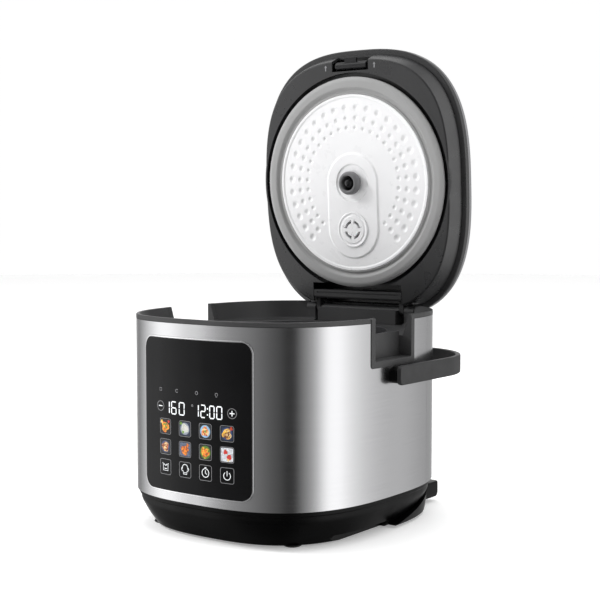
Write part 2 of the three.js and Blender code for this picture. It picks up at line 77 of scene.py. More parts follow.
HINGE_Y = HINGE.y / MM - MIDDLE_Y
HINGE_Z = HINGE.z / MM
LID_OPEN = math.radians(-JOINTS["lid_hinge"]["range_deg"][0])
PIVOT_Y = JOINTS["handle_swing"]["pos_m"][1] / MM - MIDDLE_Y
PIVOT_Z = JOINTS["handle_swing"]["pos_m"][2] / MM
COVER_HALF = edges("hinge_cover", 0)[1]
KNUCKLE_OUT = edges("hinge_bracket", 0)[1]

TO_FRAME = Matrix.Translation((0, MIDDLE_Y * MM, 0)) @ Matrix.Scale(MM, 4)
OPEN_LID = Matrix.Translation(HINGE) @ Matrix.Rotation(-LID_OPEN, 4, "X") @ Matrix.Translation(-HINGE)

# The lid's places are given with the lid closed.
TRIM_LOW = 207.4          # face of the liner
PARTING = 225.4           # where the lid shell meets the collar
PLATE_LOW = 231.9
LID_TOP = 246
SHELL_REAR = 141          # flat rear ends of the shell and the liner
SKIRT_REAR = 135.5
CUTOUT_Y = 113.8          # front edge of the liner's hinge cut-out
SEAL_R = edges("seal_ring", 0)[1]
INNER_LID_R = 101.4
LINER_WELL_R = 126
PORT_Y = POT_Y + 54
BUTTON_Y = -118

GAP = 0.3                 # between pieces that touch
BORE_R = 2.1              # for the hinge shaft


# ------------------------------------------------------------------ mesh tools
def fillet(points, closed=False, steps=4):
    """A polyline of (a, b, radius) corners with each corner rounded."""
    count = len(points)
    line = []
    for i, (a, b, radius) in enumerate(points):
        corner = Vector((a, b))
        if radius <= 0 or (not closed and i in (0, count - 1)):
            line.append(tuple(corner))
            continue
        before = Vector(points[i - 1][:2]) - corner
        after = Vector(points[(i + 1) % count][:2]) - corner
        reach = min(radius, before.length * 0.49, after.length * 0.49)
        start, end = corner + before.normalized() * reach, corner + after.normalized() * reach
        for k in range(steps + 1):
            t = k / steps
            line.append(tuple(start * (1 - t) ** 2 + corner * 2 * t * (1 - t) + end * t ** 2))
    return line


def outline_point(inset, angle):
    """A point of the body's plan outline, pulled in by inset."""
    a, b = HALF_WIDTH - inset, HALF_DEPTH - inset
    c, s = math.cos(angle), math.sin(angle)
    reach = (abs(c / a) ** SQUARENESS + abs(s / b) ** SQUARENESS) ** (-1 / SQUARENESS)
    return reach * c, reach * s


def linked(name, data):
    """Adds an object to the scene."""
    obj = bpy.data.objects.new(name, data)
    bpy.context.scene.collection.objects.link(obj)
    return obj


def as_object(name, built):
    """Turns a bmesh into an object of the scene."""
    mesh = bpy.data.meshes.new(name)
    built.to_mesh(mesh)
    built.free()
    return linked(name, mesh)


def smooth(obj, sharp):
    """Smooth shading, but for edges sharper than an angle in degrees."""
    obj.data.polygons.foreach_set("use_smooth", [True] * len(obj.data.polygons))
    obj.data.set_sharp_from_angle(angle=math.radians(sharp))
    return obj


def finish_mesh(name, built, sharp=40):
    """Turns a bmesh in drawing millimetres into an object in the frame's metres."""
    bmesh.ops.recalc_face_normals(built, faces=built.faces[:])
    built.transform(TO_FRAME)
    return smooth(as_object(name, built), sharp)


def moved(obj, move):
    """Moves a solid by a matrix in drawing millimetres."""
    obj.data.transform(TO_FRAME @ move @ TO_FRAME.inverted())
    return obj


def join_rings(built, rings, closed):
    """Joins rings of points into a surface; a ring of one point is a pole."""
    made = [[built.verts.new(p) for p in ring] for ring in rings]
    pairs = zip(made, made[1:] + made[:1]) if closed else zip(made, made[1:])
    for low, high in pairs:
        count = max(len(low), len(high))
        for k in range(count):
            n = (k + 1) % count
            corners = [low[k % len(low)], low[n % len(low)], high[n % len(high)], high[k % len(high)]]
            unique = list(dict.fromkeys(corners))
            if len(unique) > 2:
                built.faces.new(unique)
    return made


def ringed(name, rings, closed, sharp=40):
    """A solid through rings of points."""
    built = bmesh.new()
    join_rings(built, rings, closed)
    return finish_mesh(name, built, sharp)


def shaped(name, points, closed=True, sides=240, steps=4):
    """A shell with the body's plan shape. Points are (inset, height, rounding); inset None is the axis."""
    flat = [(HALF_WIDTH if p[0] is None else p[0], p[1], p[2]) for p in points]
    angles = [2 * math.pi * k / sides for k in range(sides)]
    rings = []
    for inset, z in fillet(flat, closed, steps):
        if inset >= HALF_WIDTH:
            rings.append([(0, 0, z)])
        else:
            rings.append([(*outline_point(inset, angle), z) for angle in angles])
    return ringed(name, rings, closed)


def turned(name, points, closed=True, y=0, x=0, sides=128, steps=4):
    """A solid turned about a vertical axis. Points are (radius, height, rounding)."""
    turn = [2 * math.pi * k / sides for k in range(sides)]
    rings = []
    for radius, z in fillet(points, closed, steps):
        ring = [(x + radius * math.cos(t), y + radius * math.sin(t), z) for t in turn]
        rings.append([(x, y, z)] if radius <= 1e-6 else ring)
    return ringed(name, rings, closed)


def rod(name, points, y, z, sides=64):
    """A solid turned about an axis along X. Points are (radius, place along X, rounding)."""
    turn = [2 * math.pi * k / sides for k in range(sides)]
    rings = []
    for radius, x in fillet(points):
        ring = [(x, y + radius * math.cos(t), z + radius * math.sin(t)) for t in turn]
        rings.append([(x, y, z)] if radius <= 1e-6 else ring)
    return ringed(name, rings, False)


def disc(name, radius, z, y=0, x=0, sides=128):
    """A plain round plug between two heights."""
    points = [(0, z[0], 0), (radius, z[0], 0), (radius, z[1], 0), (0, z[1], 0)]
    return turned(name, points, False, y, x, sides)


def cylinder(name, radius, x, y, z, sides=64):
    """A plain round bar along X between two places."""
    return rod(name, [(0, x[0], 0), (radius, x[0], 0), (radius, x[1], 0), (0, x[1], 0)], y, z, sides)


def slab(name, inset, low, high):
    """A solid with the body's plan shape between two heights."""
    return shaped(name, [(None, low, 0), (inset, low, 0), (inset, high, 0), (None, high, 0)], False)


def box(name, x, y, z):
    """A box between two places along each axis."""
    built = bmesh.new()
    bmesh.ops.create_cube(built, size=1)
    size = Vector((x[1] - x[0], y[1] - y[0], z[1] - z[0]))
    centre = Vector((sum(x), sum(y), sum(z))) / 2
    built.transform(Matrix.Translation(centre) @ Matrix.Diagonal((*size, 1)))
    return finish_mesh(name, built)


def rounded_outline(half_x, half_y, corner, steps=10):
    """Corner points of a rounded rectangle, anticlockwise."""
    points = []
    for quarter, (sx, sy) in enumerate(((1, 1), (-1, 1), (-1, -1), (1, -1))):
        for k in range(steps + 1):
            turn = math.pi / 2 * (quarter + k / steps)
            points.append((sx * (half_x - corner) + corner * math.cos(turn),
                           sy * (half_y - corner) + corner * math.sin(turn)))
    return points


def pad(name, half_x, half_y, corner, layers, y=0, x=0, upright=False):
    """A rounded slab. Layers are (height, inset); an upright slab's heights run along Y."""
    rings = [[(x, y, layers[0][0])]]
    for height, inset in layers:
        outline = rounded_outline(half_x - inset, half_y - inset, max(corner - inset, 0.05))
        rings.append([(x + px, y + py, height) for px, py in outline])
    rings.append([(x, y, layers[-1][0])])
    if upright:
        rings = [[(px, h, py) for px, py, h in ring] for ring in rings]
    return ringed(name, rings, False)


def evaluated(obj):
    """Applies an object's modifiers to its mesh."""
    bpy.context.view_layer.update()
    graph = bpy.context.evaluated_depsgraph_get()
    mesh = bpy.data.meshes.new_from_object(obj.evaluated_get(graph))
    old = obj.data
    obj.modifiers.clear()
    obj.data = mesh
    bpy.data.meshes.remove(old)
    return obj


def carve(obj, cutters, operation="DIFFERENCE", bevel=0.0, sharp=40):
    """Cuts, joins or keeps what is common with the cutters, then softens the new edges."""
    for cutter in cutters:
        step = obj.modifiers.new("carve", "BOOLEAN")
        step.operation, step.object, step.solver = operation, cutter, "MANIFOLD"
    evaluated(obj)
    for cutter in cutters:
        bpy.data.objects.remove(cutter)
    if bevel:
        soft = obj.modifiers.new("bevel", "BEVEL")
        soft.width, soft.segments, soft.limit_method = bevel * MM, 2, "ANGLE"
        soft.angle_limit = math.radians(sharp)
        soft.use_clamp_overlap = True
        evaluated(obj)
    return smooth(obj, sharp)


def mirrored(obj, name):
    """A copy on the other side of the middle plane."""
    built = bmesh.new()
    built.from_mesh(obj.data)
    built.transform(Matrix.Scale(-1, 4, (1, 0, 0)))
    bmesh.ops.reverse_faces(built, faces=built.faces[:])
    return as_object(name, built)


# ------------------------------------------------------------------ materials
def material(name, colour, roughness, metallic=0.0):
    """A plain material, its node tree and its shader."""
    made = bpy.data.materials.new(name)
    made.use_nodes = True
    shader = made.node_tree.nodes["Principled BSDF"]
    shader.inputs["Base Color"].default_value = (*colour, 1)
    shader.inputs["Roughness"].default_value = roughness
    shader.inputs["Metallic"].default_value = metallic
    return made, made.node_tree, shader


def add_node(tree, kind, **values):
    """A shader node with some of its inputs set by name."""
    made = tree.nodes.new(f"ShaderNode{kind}")
    for name, value in values.items():
        made.inputs[name.replace("_", " ")].default_value = value
    return made


def noise(tree, scale, stretch=(1, 1, 1), detail=3.0):
    """Noise in the piece's own coordinates, stretched along the axes."""
    coords = add_node(tree, "TexCoord")
    mapping = add_node(tree, "Mapping", Scale=stretch)
    texture = add_node(tree, "TexNoise", Scale=scale, Detail=detail)
    tree.links.new(coords.outputs["Object"], mapping.inputs["Vector"])
    tree.links.new(mapping.outputs["Vector"], texture.inputs["Vector"])
    return texture.outputs["Fac"]


def mapped(tree, value, from_low, from_high, low, high):
    """Maps a value from one range to another."""
    node = add_node(tree, "MapRange", From_Min=from_low, From_Max=from_high, To_Min=low, To_Max=high)
    tree.links.new(value, node.inputs["Value"])
    return node.outputs["Result"]


def spread(tree, value, low, high):
    """Maps a noise value to the range low to high."""
    return mapped(tree, value, 0.3, 0.7, low, high)


def colour_ramp(tree, value, stops):
    """Maps a value to colours. Stops are (place, colour)."""
    ramp = add_node(tree, "ValToRGB")
    steps = ramp.color_ramp.elements
    while len(steps) < len(stops):
        steps.new(0.5)
    for k, (place_at, _) in enumerate(stops):
        steps[k].position = place_at
    for k, (_, colour) in enumerate(stops):
        steps[k].color = (*colour, 1)
    tree.links.new(value, ramp.inputs["Fac"])
    return ramp


def tinted(tree, value, dark, light):
    """Maps a noise value to a colour between dark and light."""
    return colour_ramp(tree, value, [(0.3, dark), (0.7, light)]).outputs["Color"]


def relief(tree, shader, value, distance, strength):
    """Raises a noise value as fine relief."""
    raised = add_node(tree, "Bump", Strength=strength, Distance=distance)
    tree.links.new(value, raised.inputs["Height"])
    tree.links.new(raised.outputs["Normal"], shader.inputs["Normal"])


def shades(colour, darker, lighter):
    """A colour a little darker and a little lighter, as shares of it."""
    return tuple(c * (1 - darker) for c in colour), tuple(min(1, c * (1 + lighter)) for c in colour)


def moulded(name, colour, roughness, grain=0.25, depth=0.00005, vary=0.12, gloss_level=0.5):
    """Moulded plastic: a fine spark-eroded grain and faint, wide variation in tone and gloss."""
    made, tree, shader = material(name, colour, roughness)
    shader.inputs["Specular IOR Level"].default_value = gloss_level
    tone = noise(tree, 14, detail=4)
    tree.links.new(tinted(tree, tone, *shades(colour, vary, vary)), shader.inputs["Base Color"])
    gloss = noise(tree, 60, detail=5)
    tree.links.new(spread(tree, gloss, roughness - 0.05, roughness + 0.06), shader.inputs["Roughness"])
    relief(tree, shader, noise(tree, 2600, detail=2), depth, grain)
    return made


def brushed(name, colour, roughness, stretch, depth=0.00002, strength=0.35, vary=0.05):
    """Brushed metal: hair lines across the sheet in tone, gloss and relief."""
    made, tree, shader = material(name, colour, roughness, 1.0)
    lines = noise(tree, 1, stretch, detail=6)
    tree.links.new(tinted(tree, lines, *shades(colour, vary, vary)), shader.inputs["Base Color"])
    tree.links.new(spread(tree, lines, roughness - 0.05, roughness + 0.07), shader.inputs["Roughness"])
    relief(tree, shader, lines, depth, strength)
    return made


def coated(name, colour, roughness, metallic, speck=0.1, vary=0.06):
    """A painted or anodised skin with a faint orange peel."""
    made, tree, shader = material(name, colour, roughness, metallic)
    tone = noise(tree, 22, detail=4)
    tree.links.new(tinted(tree, tone, *shades(colour, vary, vary / 2)), shader.inputs["Base Color"])
    gloss = noise(tree, 90)
    tree.links.new(spread(tree, gloss, roughness - 0.04, roughness + 0.05), shader.inputs["Roughness"])
    relief(tree, shader, noise(tree, 700, detail=2), 0.00004, speck)
    return made


BRUSH_ROUND_BODY = (14, 14, 5200)
BRUSH_ACROSS_LID = (9, 3600, 3600)
STEEL = brushed("brushed_wrap_steel", (0.62, 0.62, 0.63), 0.2, BRUSH_ROUND_BODY)
LID_STEEL = brushed("lid_plate_steel", (0.46, 0.46, 0.47), 0.30, BRUSH_ACROSS_LID)
COLLAR = moulded("collar_plastic", (0.046, 0.046, 0.047), 0.38, gloss_level=0.36)
LINER = moulded("liner_plastic", (0.024, 0.024, 0.025), 0.30, gloss_level=0.75)
BASE = moulded("base_plastic", (0.0015, 0.0015, 0.0016), 0.32, gloss_level=0.13)
# A near-black gloss. On the centre post it is painted shade, standing in for the shade inside the grommet's hole;
# on the latch pawl it is plain black plastic.
HOLE_SHADE_AND_BLACK_GLOSS = coated("hole_shade_and_black_gloss", (0.012, 0.012, 0.013), 0.12, 0.0)
HANDLE = moulded("handle_plastic", (0.022, 0.022, 0.023), 0.46, grain=0.4)
RUBBER = moulded("foot_rubber", (0.012, 0.012, 0.012), 0.75, grain=0.5)
SILICONE = moulded("seal_silicone", (0.34, 0.34, 0.34), 0.42, grain=0.12, vary=0.03)
GROMMET = moulded("grommet_rubber", (0.16, 0.16, 0.165), 0.45, grain=0.15, vary=0.05)
WHITE = coated("inner_lid_white", (0.90, 0.90, 0.91), 0.30, 0.0, vary=0.02)
NON_STICK = coated("pot_non_stick", (0.030, 0.030, 0.032), 0.36, 0.0, speck=0.5, vary=0.25)
ALUMINIUM = brushed("spun_aluminium", (0.70, 0.70, 0.71), 0.36, (300, 300, 2400))
BRIGHT = brushed("bright_metal", (0.78, 0.78, 0.79), 0.16, (400, 400, 400), strength=0.1)
GLASS = coated("panel_black", (0.006, 0.006, 0.0065), 0.07, 0.0, speck=0.01, vary=0.2)
GLASS.node_tree.nodes["Principled BSDF"].inputs["Specular IOR Level"].default_value = 0.12
PRINT = coated("panel_white_print", (0.80, 0.81, 0.82), 0.4, 0.0, speck=0.05)
DIM_PRINT = coated("panel_grey_print", (0.26, 0.26, 0.27), 0.4, 0.0, speck=0.05)
BOARD = coated("circuit_board_mask", (0.02, 0.13, 0.06), 0.4, 0.0)


def lit(made, colour, strength):
    """Gives a print the faint glow of a lit display."""
    shader = made.node_tree.nodes["Principled BSDF"]
    shader.inputs["Emission Color"].default_value = (*colour, 1)
    shader.inputs["Emission Strength"].default_value = strength


lit(PRINT, (0.9, 0.95, 1.0), 0.35)


# Pieces of these bodies are drawn with the lid closed.
LID_BODIES = ("lid", "inner_lid", "latch", "button", "vent_cap")


def place(obj, body, made, slot, *nodes):
    """Gives a piece its finish, its body and the CAD nodes it stands for."""
    obj.data.materials.clear()
    obj.data.materials.append(made)
    obj.modifiers.new("weigh", "WEIGHTED_NORMAL").keep_sharp = True
    if body in LID_BODIES:
        obj.matrix_world = OPEN_LID
    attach(obj, body)
    if nodes:
        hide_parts(*nodes)
    return obj


# ------------------------------------------------------------------ base
SIDES = (-1, 1)                    # left and right


def span(side, near, far):
    """The stretch along X between two distances from the middle, on one side."""
    return sorted((side * near, side * far))


def build_base():
    """The tapered base with its rear heels and bumpers, side arches, inlet and screw holes."""
    wall = shaped("base_shell_skin", [
        (38, 1.4, 0), (19, 1.4, 2.5), (11, 14, 12), (4.2, 28, 10), (3.6, 33.8, 0.4), (2.4, 34.4, 0.5),
        (2.2, 38.7, 0.4), (4.6, 38.8, 0.1), (4.6, 44, 0.2), (6.5, 44, 0), (7, 30, 0),
        (11, 16, 0), (18, 11, 0), (28, 11, 0), (28, 5.3, 0), (38, 5.3, 0)], steps=5)
    heels = shaped("heels", [
        (5.2, 25, 1), (6, 12, 4), (7.5, 3, 1.2), (21, 3, 0), (15, 8, 0), (9.5, 14.5, 0), (6.5, 25, 0)],
        steps=5)
    tilt = Matrix.Translation((0, 15, 3)) @ Matrix.Rotation(math.radians(12.5), 4, "X")
    above = moved(box("above", (-200, 200), (-400, 300), (0, 80)), tilt)
    carve(heels, [above, box("middle", (-45, 45), (0, 200), (0, 50))])
    layers = [(5, 4), (5.6, 2.2), (7.5, 0.7), (11, 0.1), (21.5, 0.1), (22.9, 0.5), (23.5, 1.6)]
    bumpers = [pad(f"bumper_{side}", 11, 18.5, 6, layers, y=141, x=88 * side) for side in SIDES]
    carve(wall, [heels, *bumpers], "UNION")
    arches = [box("arch", span(side, 113, 150), (-78, 12), (-4, 9)) for side in SIDES]
    inlet = box("inlet_hole", (-14, 14), (138, 170), (12, 32))
    screw_holes = [disc("screw_hole", 3.4, (0, 6), y, x, 24) for x in (-104, 104) for y in (-34, 34)]
    carve(wall, [*arches, inlet, *screw_holes], bevel=0.5, sharp=50)
    place(wall, "body", BASE, "base_black", "base_shell")


def build_feet():
    """The four rubber feet."""
    for side, x in (("left", -86), ("right", 86)):
        for end, y in (("front", -106), ("rear", 100)):
            foot = turned(f"foot_{end}_{side}_pad", [
                (0, 0, 0), (7.6, 0, 1.2), (9.6, 1.2, 0.8), (9.6, 2.2, 0.3), (0, 2.2, 0)], False, y, x, 64)
            place(foot, "body", RUBBER, "foot_rubber", f"foot_{end}_{side}")


# ------------------------------------------------------------------ steel wrap
# Stands a flat pad on edge, so that its heights run along X.
STANDING = Matrix(((0, 0, 1, 0), (1, 0, 0, 0), (0, 1, 0, 0), (0, 0, 0, 1)))


def notch_cutter(name, side, inner, front, rear, floor, corner):
    """A grip notch as an upright rounded block, cut along X."""
    depth, half_height = 60, 50
    block = pad(name, (rear - front) / 2, half_height, corner, [(0, 0), (depth, 0)])
    start = inner if side > 0 else -inner - depth
    move = Matrix.Translation((start, (front + rear) / 2, floor + half_height))
    return moved(block, move @ STANDING)


def build_wrap():
    """The front and rear sheets, with the panel window and the grip notches cut in the front one."""
    sheet = shaped("steel_wrap_skin", [
        (0, STEEL_LOW, 0.25), (0, STEEL_TOP, 0.25), (1, STEEL_TOP, 0.25), (1, STEEL_LOW, 0.25)],
        sides=360, steps=2)
    rear = linked("steel_wrap_rear_skin", sheet.data.copy())
    notches = [notch_cutter("notch", side, 100, NOTCH_FRONT - GAP, NOTCH_REAR + GAP, NOTCH_FLOOR - GAP, 3.2)
               for side in SIDES]
    window = pad("window", 60, 65, 6, [(-170, 0), (-100, 0)], y=125, upright=True)
    pivots = cylinder("pivots", 6, (-150, 150), PIVOT_Y, PIVOT_Z)
    carve(sheet, [*notches, window, pivots, box("behind", (-200, 200), (SEAM_Y, 200), (0, 300))])
    carve(rear, [box("ahead", (-200, 200), (-200, SEAM_Y + GAP), (0, 300))])
    place(sheet, "body", STEEL, "brushed_wrap", "steel_wrap_front")
    place(rear, "body", STEEL, "brushed_wrap", "steel_wrap_rear")


# ------------------------------------------------------------------ collar and grip pockets
LIP, FOOT = 3, 9.5                 # the collar's inner face, at its top and at the deck
HINGE_BAY, DIP = 61.8, 73.5        # half widths of the cuts for the hinge and the open lid


def collar_space(name):
    """The space inside the collar, above its deck."""
    return shaped(name, [(None, DECK_TOP, 0), (FOOT, DECK_TOP, 0), (FOOT, DECK_TOP + 1.7, 0),
                         (LIP, RIM_TOP, 0), (LIP, RIM_TOP + 20, 0), (None, RIM_TOP + 20, 0)], False)


def build_collar():
    """The collar and its deck, with two cheeks that hold the hinge."""
    wall = shaped("collar_skin", [
        (0, STEEL_TOP + GAP, 0.2), (0, RIM_TOP, 1.4), (LIP, RIM_TOP, 1.0), (FOOT, DECK_TOP + 1.7, 6),
        (14, DECK_TOP, 2), (14, DECK_TOP - 2.8, 0), (1.4, DECK_TOP - 2.8, 0), (1.4, STEEL_TOP + GAP, 0)],
        sides=360, steps=5)
    carve(wall, [slab("deck", 13, DECK_TOP - 2.8, DECK_TOP)], "UNION")
    cutters = [disc("well", WELL_R, (190, 210), POT_Y, sides=192)]
    for side in SIDES:
        x = span(side, NOTCH_INNER - GAP, 150)
        cutters.append(box("notch", x, (NOTCH_FRONT - GAP, NOTCH_REAR + GAP), (190, 240)))
    cutters.append(box("hinge_bay", (-HINGE_BAY, HINGE_BAY), (130, 170), (DECK_TOP, 240)))
    cutters.append(box("dip", (-DIP, DIP), (130, 170), (STEEL_TOP, 240)))
    carve(wall, cutters)
    for side in SIDES:
        x = span(side, HINGE_BAY + 0.5, DIP + 1.5)
        cheek = box("cheek", x, (139, 148), (DECK_TOP - 1, HINGE_Z))
        carve(cheek, [cylinder("ear", 6.2, x, HINGE_Y, HINGE_Z, 48)], "UNION")
        carve(cheek, [slab("within", 1.8, 195, 230)], "INTERSECT")
        carve(wall, [cheek], "UNION")
    carve(wall, [], bevel=0.35, sharp=50)
    place(wall, "body", COLLAR, "collar_plastic", "collar")


def build_pockets():
    """The open-fronted pockets in the grip notches."""
    outer = shaped("grip_pocket_right_skin", [
        (None, NOTCH_FLOOR, 0), (-0.7, NOTCH_FLOOR, 0), (-0.7, RIM_TOP, 1.0), (None, RIM_TOP, 0)], False,
        sides=360)
    block = notch_cutter("block", 1, NOTCH_INNER, NOTCH_FRONT, NOTCH_REAR, NOTCH_FLOOR, 3.0)
    carve(outer, [block], "INTERSECT")
    wall, lip = 6.5, 206.3
    between = (NOTCH_FRONT + wall, NOTCH_REAR - wall)
    hollow = notch_cutter("hollow", 1, NOTCH_INNER + 3.8, *between, NOTCH_FLOOR + wall, 1.2)
    over = box("over", (NOTCH_INNER - 1, NOTCH_INNER + 2.2), between, (DECK_TOP, 240))
    over_lip = box("over_lip", (NOTCH_INNER + 2, NOTCH_INNER + 4), between, (lip, 240))
    space = carve(collar_space("space"), [box("kept", (NOTCH_INNER + 2.2, 150), between, (150, lip))])
    carve(outer, [hollow, over, over_lip, space], bevel=0.5, sharp=45)
    left = mirrored(outer, "grip_pocket_left_skin")
    place(outer, "body", COLLAR, "collar_plastic", "grip_pocket_right")
    place(left, "body", COLLAR, "collar_plastic", "grip_pocket_left")


# ------------------------------------------------------------------ pot
def build_pot():
    """The removable pot with its flanged rim."""
    pot = turned("inner_pot_skin", [
        (0, POT_LOW, 0), (100, POT_LOW, 4), (108, 66, 5), (110.8, 75, 6), (111.2, DECK_TOP + GAP, 0.4),
        (POT_RIM_R, DECK_TOP + GAP, 0.8), (POT_RIM_R, POT_TOP, 0.8), (109.4, POT_TOP, 0.9), (109, 76, 6),
        (106, 68.2, 5), (99, 65.2, 4), (0, 65.2, 0)], False, POT_Y, sides=192)
    place(pot, "pot", NON_STICK, "non_stick", "inner_pot")


# ------------------------------------------------------------------ hinge and handle
def shaft_bore(half):
    """A cutter for the hinge shaft's bore."""
    return cylinder("bore", BORE_R, (-half, half), HINGE_Y, HINGE_Z, 24)


def build_hinge():
    """The cover over the hinge, hollow inside and bored for the shaft."""
    low, top, width = DECK_TOP + GAP, 217.9, (-COVER_HALF, COVER_HALF)
    ledge = box("hinge_cover_skin", width, (133, 170), (low, top))
    carve(ledge, [cylinder("barrel", 4.8, width, HINGE_Y, HINGE_Z)], "UNION")
    carve(ledge, [slab("within", 1.4, low, 230)], "INTERSECT")
    hollow = box("hollow", (-51.5, 51.5), (136, 151), (low - 1, 212))
    carve(ledge, [hollow, shaft_bore(60)], bevel=0.8, sharp=50)
    place(ledge, "body", COLLAR, "collar_plastic", "hinge_cover")


def bail_outline(x, y, corner, steps=24):
    """Plan of one edge of the bail, from the right end round the back to the left end."""
    points = [(x, PIVOT_Y)]
    for k in range(steps + 1):
        turn = math.pi / 2 * k / steps
        points.append((x - corner + corner * math.cos(turn), y - corner + corner * math.sin(turn)))
    return points + [(-px, py) for px, py in reversed(points)]


BAIL_X, BAIL_REAR = edges("handle_bail", 0)[1], edges("handle_bail", 1)[1] - MIDDLE_Y
BAIL_THICK, BAIL_HALF, BAIL_CORNER = 5.5, 10, 85
BAIL_INSIDE = BAIL_X - BAIL_THICK


def bail_band():
    """The bail's band, from one end round the back to the other."""
    section = fillet([(0, -BAIL_HALF, 1.6), (BAIL_THICK, -BAIL_HALF, 1.6),
                      (BAIL_THICK, BAIL_HALF, 1.6), (0, BAIL_HALF, 1.6)], True)
    outlines = [bail_outline(BAIL_X - inset, BAIL_REAR - inset, BAIL_CORNER - inset) for inset, _ in section]
    rings = []
    for places in zip(*outlines):
        rings.append([(x, y, PIVOT_Z + height) for (x, y), (_, height) in zip(places, section)])
    ends = [[(sum(p[0] for p in ring) / len(ring), ring[0][1], PIVOT_Z)] for ring in (rings[0], rings[-1])]
    return ringed("handle_bail_skin", [ends[0], *rings, ends[1]], False)


def bail_tip(side):
    """The rounded end of one arm of the bail."""
    layers = [(BAIL_INSIDE, 1.2), (BAIL_INSIDE + 0.35, 0.35), (BAIL_INSIDE + 1.2, 0),
              (BAIL_X - 1.2, 0), (BAIL_X - 0.35, 0.35), (BAIL_X, 1.2)]
    move = Matrix.Translation((0, PIVOT_Y - 1, PIVOT_Z)) @ Matrix.Diagonal((side, 1, 1, 1)) @ STANDING
    tip = moved(pad("tip", 7, BAIL_HALF, 5.6, layers), move)
    if side < 0:
        tip.data.flip_normals()
    return tip


def build_handle():
    """The carry handle and the two bosses it turns on."""
    bail = bail_band()
    carve(bail, [bail_tip(side) for side in SIDES], "UNION")
    reach = BAIL_X - 1.7
    carve(bail, [cylinder("sockets", 2.9, (-reach, reach), PIVOT_Y, PIVOT_Z, 32)])
    place(bail, "handle", HANDLE, "handle_plastic", "handle_bail")
    boss = rod("pivot_boss_right_skin", [
        (0, 130, 0), (5.6, 130, 0), (5.6, HALF_WIDTH + GAP, 0), (8.8, HALF_WIDTH + GAP, 0.3),
        (8.8, BAIL_INSIDE - GAP, 0.9), (2.6, BAIL_INSIDE - GAP, 0.2), (2.6, BAIL_X - 2.2, 0.4),
        (0, BAIL_X - 2.2, 0)], PIVOT_Y, PIVOT_Z)
    place(mirrored(boss, "pivot_boss_left_skin"), "body", BASE, "base_black", "pivot_boss_left")
    place(boss, "body", BASE, "base_black", "pivot_boss_right")


# ------------------------------------------------------------------ lid
def behind(y):
    """A cutter for what lies behind a place."""
    return box("behind", (-200, 200), (y, 200), (150, 300))


def build_lid_rim():
    """The lid's rim with its flat rear wall."""
    rim = shaped("lid_shell_skin", [
        (0.9, PARTING, 0.5), (0, 226.6, 0.8), (0, 231.6, 0.5), (3, 231.6, 0), (3, 234.5, 0), (6, 234.5, 0),
        (6, 228, 0), (14, 228, 0), (14, PARTING, 0)], sides=360)
    wall_top = 239.8
    wall = box("rear_wall", (-120, 120), (SHELL_REAR - 2, SHELL_REAR + 1), (PARTING, wall_top))
    carve(wall, [slab("within", 8, PARTING, wall_top)], "INTERSECT")
    carve(rim, [behind(SHELL_REAR)], bevel=0.8, sharp=50)
    carve(rim, [wall], "UNION", sharp=50)
    place(rim, "lid", LINER, "collar_plastic", "lid_shell")


def build_lid_plate():
    """The domed steel plate, painted underneath, with openings for the vent and the button."""
    plate = shaped("lid_top_plate_skin", [
        (None, LID_TOP - 1.2, 0), (80, 244.5, 20), (40, 243.8, 12), (14, 242, 8), (5.2, 240, 4),
        (2.6, 238.2, 2), (1.4, 236, 2), (1.4, PLATE_LOW, 0.1), (0.2, PLATE_LOW, 0.1), (0.2, 236.5, 3), (1.5, 239.2, 2.5),
        (4.5, 241.2, 4), (14, 243.2, 8), (40, 245, 14), (80, 245.7, 20), (None, LID_TOP, 0)],
        False, sides=360, steps=8)
    vent = disc("vent", 14.6, (230, 260), PORT_Y)
    button = pad("button", 22.4, 9.4, 9.3, [(230, 0), (260, 0)], BUTTON_Y)
    carve(plate, [behind(SHELL_REAR), vent, button], sharp=50)
    place(plate, "lid", LID_STEEL, "brushed_wrap", "lid_top_plate")
    plate.data.materials.append(LINER)
    for face in plate.data.polygons:
        face.material_index = 1 if face.normal.z < -0.1 else 0


def arrow_mark(name, x):
    """A raised arrow on the lid's underside, pointing at the latch edge."""
    half = [(0.7, -133.0), (0.7, -137.0), (1.8, -137.0), (0, -139.6)]
    outline = half + [(-px, py) for px, py in reversed(half[:3])]
    rings = [[(x + px, py, z) for px, py in outline] for z in (TRIM_LOW - 0.3, TRIM_LOW + 0.3)]
    poles = [[(x, -137.3, ring[0][2])] for ring in rings]
    return ringed(name, [poles[0], *rings, poles[1]], False)


def build_lid_liner():
    """The lid's lining, with a round well for the inner lid and two arrow marks."""
    skirt = shaped("lid_liner_skin", [
        (12, TRIM_LOW, 1.6), (8.6, 216.6, 8), (5.8, 224.9, 0.3), (8.2, 224.9, 0), (14.6, 210, 0),
        (30, 210, 0), (30, TRIM_LOW, 0)], sides=360, steps=6)
    radius, low, high = LINER_WELL_R, 217, 219.2
    well_wall = turned("well_wall", [
        (radius, TRIM_LOW, 0), (radius + 2, TRIM_LOW, 0), (radius + 2, high, 0), (radius, high, 0)],
        True, POT_Y, sides=192)
    carve(skirt, [slab("face", 29, TRIM_LOW, 209.8)], "UNION")
    carve(skirt, [disc("mouth", radius, (200, 216), POT_Y, sides=192)])
    carve(well_wall, [disc("floor", radius + 1, (low, high), POT_Y, sides=192)], "UNION")
    carve(well_wall, [slab("within", 8.6, TRIM_LOW, 225)], "INTERSECT")
    carve(skirt, [well_wall], "UNION")
    bay = KNUCKLE_OUT + 0.6
    cutters = [behind(SKIRT_REAR), box("bay", (-bay, bay), (CUTOUT_Y, 170), (200, 230)),
               box("latch_bay", (-25, 25), (-170, -131.5), (200, 222.5)),
               disc("steam", 13, (210, 225), PORT_Y)]
    carve(skirt, cutters, bevel=0.5, sharp=50)
    place(skirt, "lid", LINER, "collar_plastic", "lid_liner")
    for side, name in ((-1, "left"), (1, "right")):
        place(arrow_mark(f"arrow_mark_{name}", 33.5 * side), "lid", DIM_PRINT, "panel_gloss")


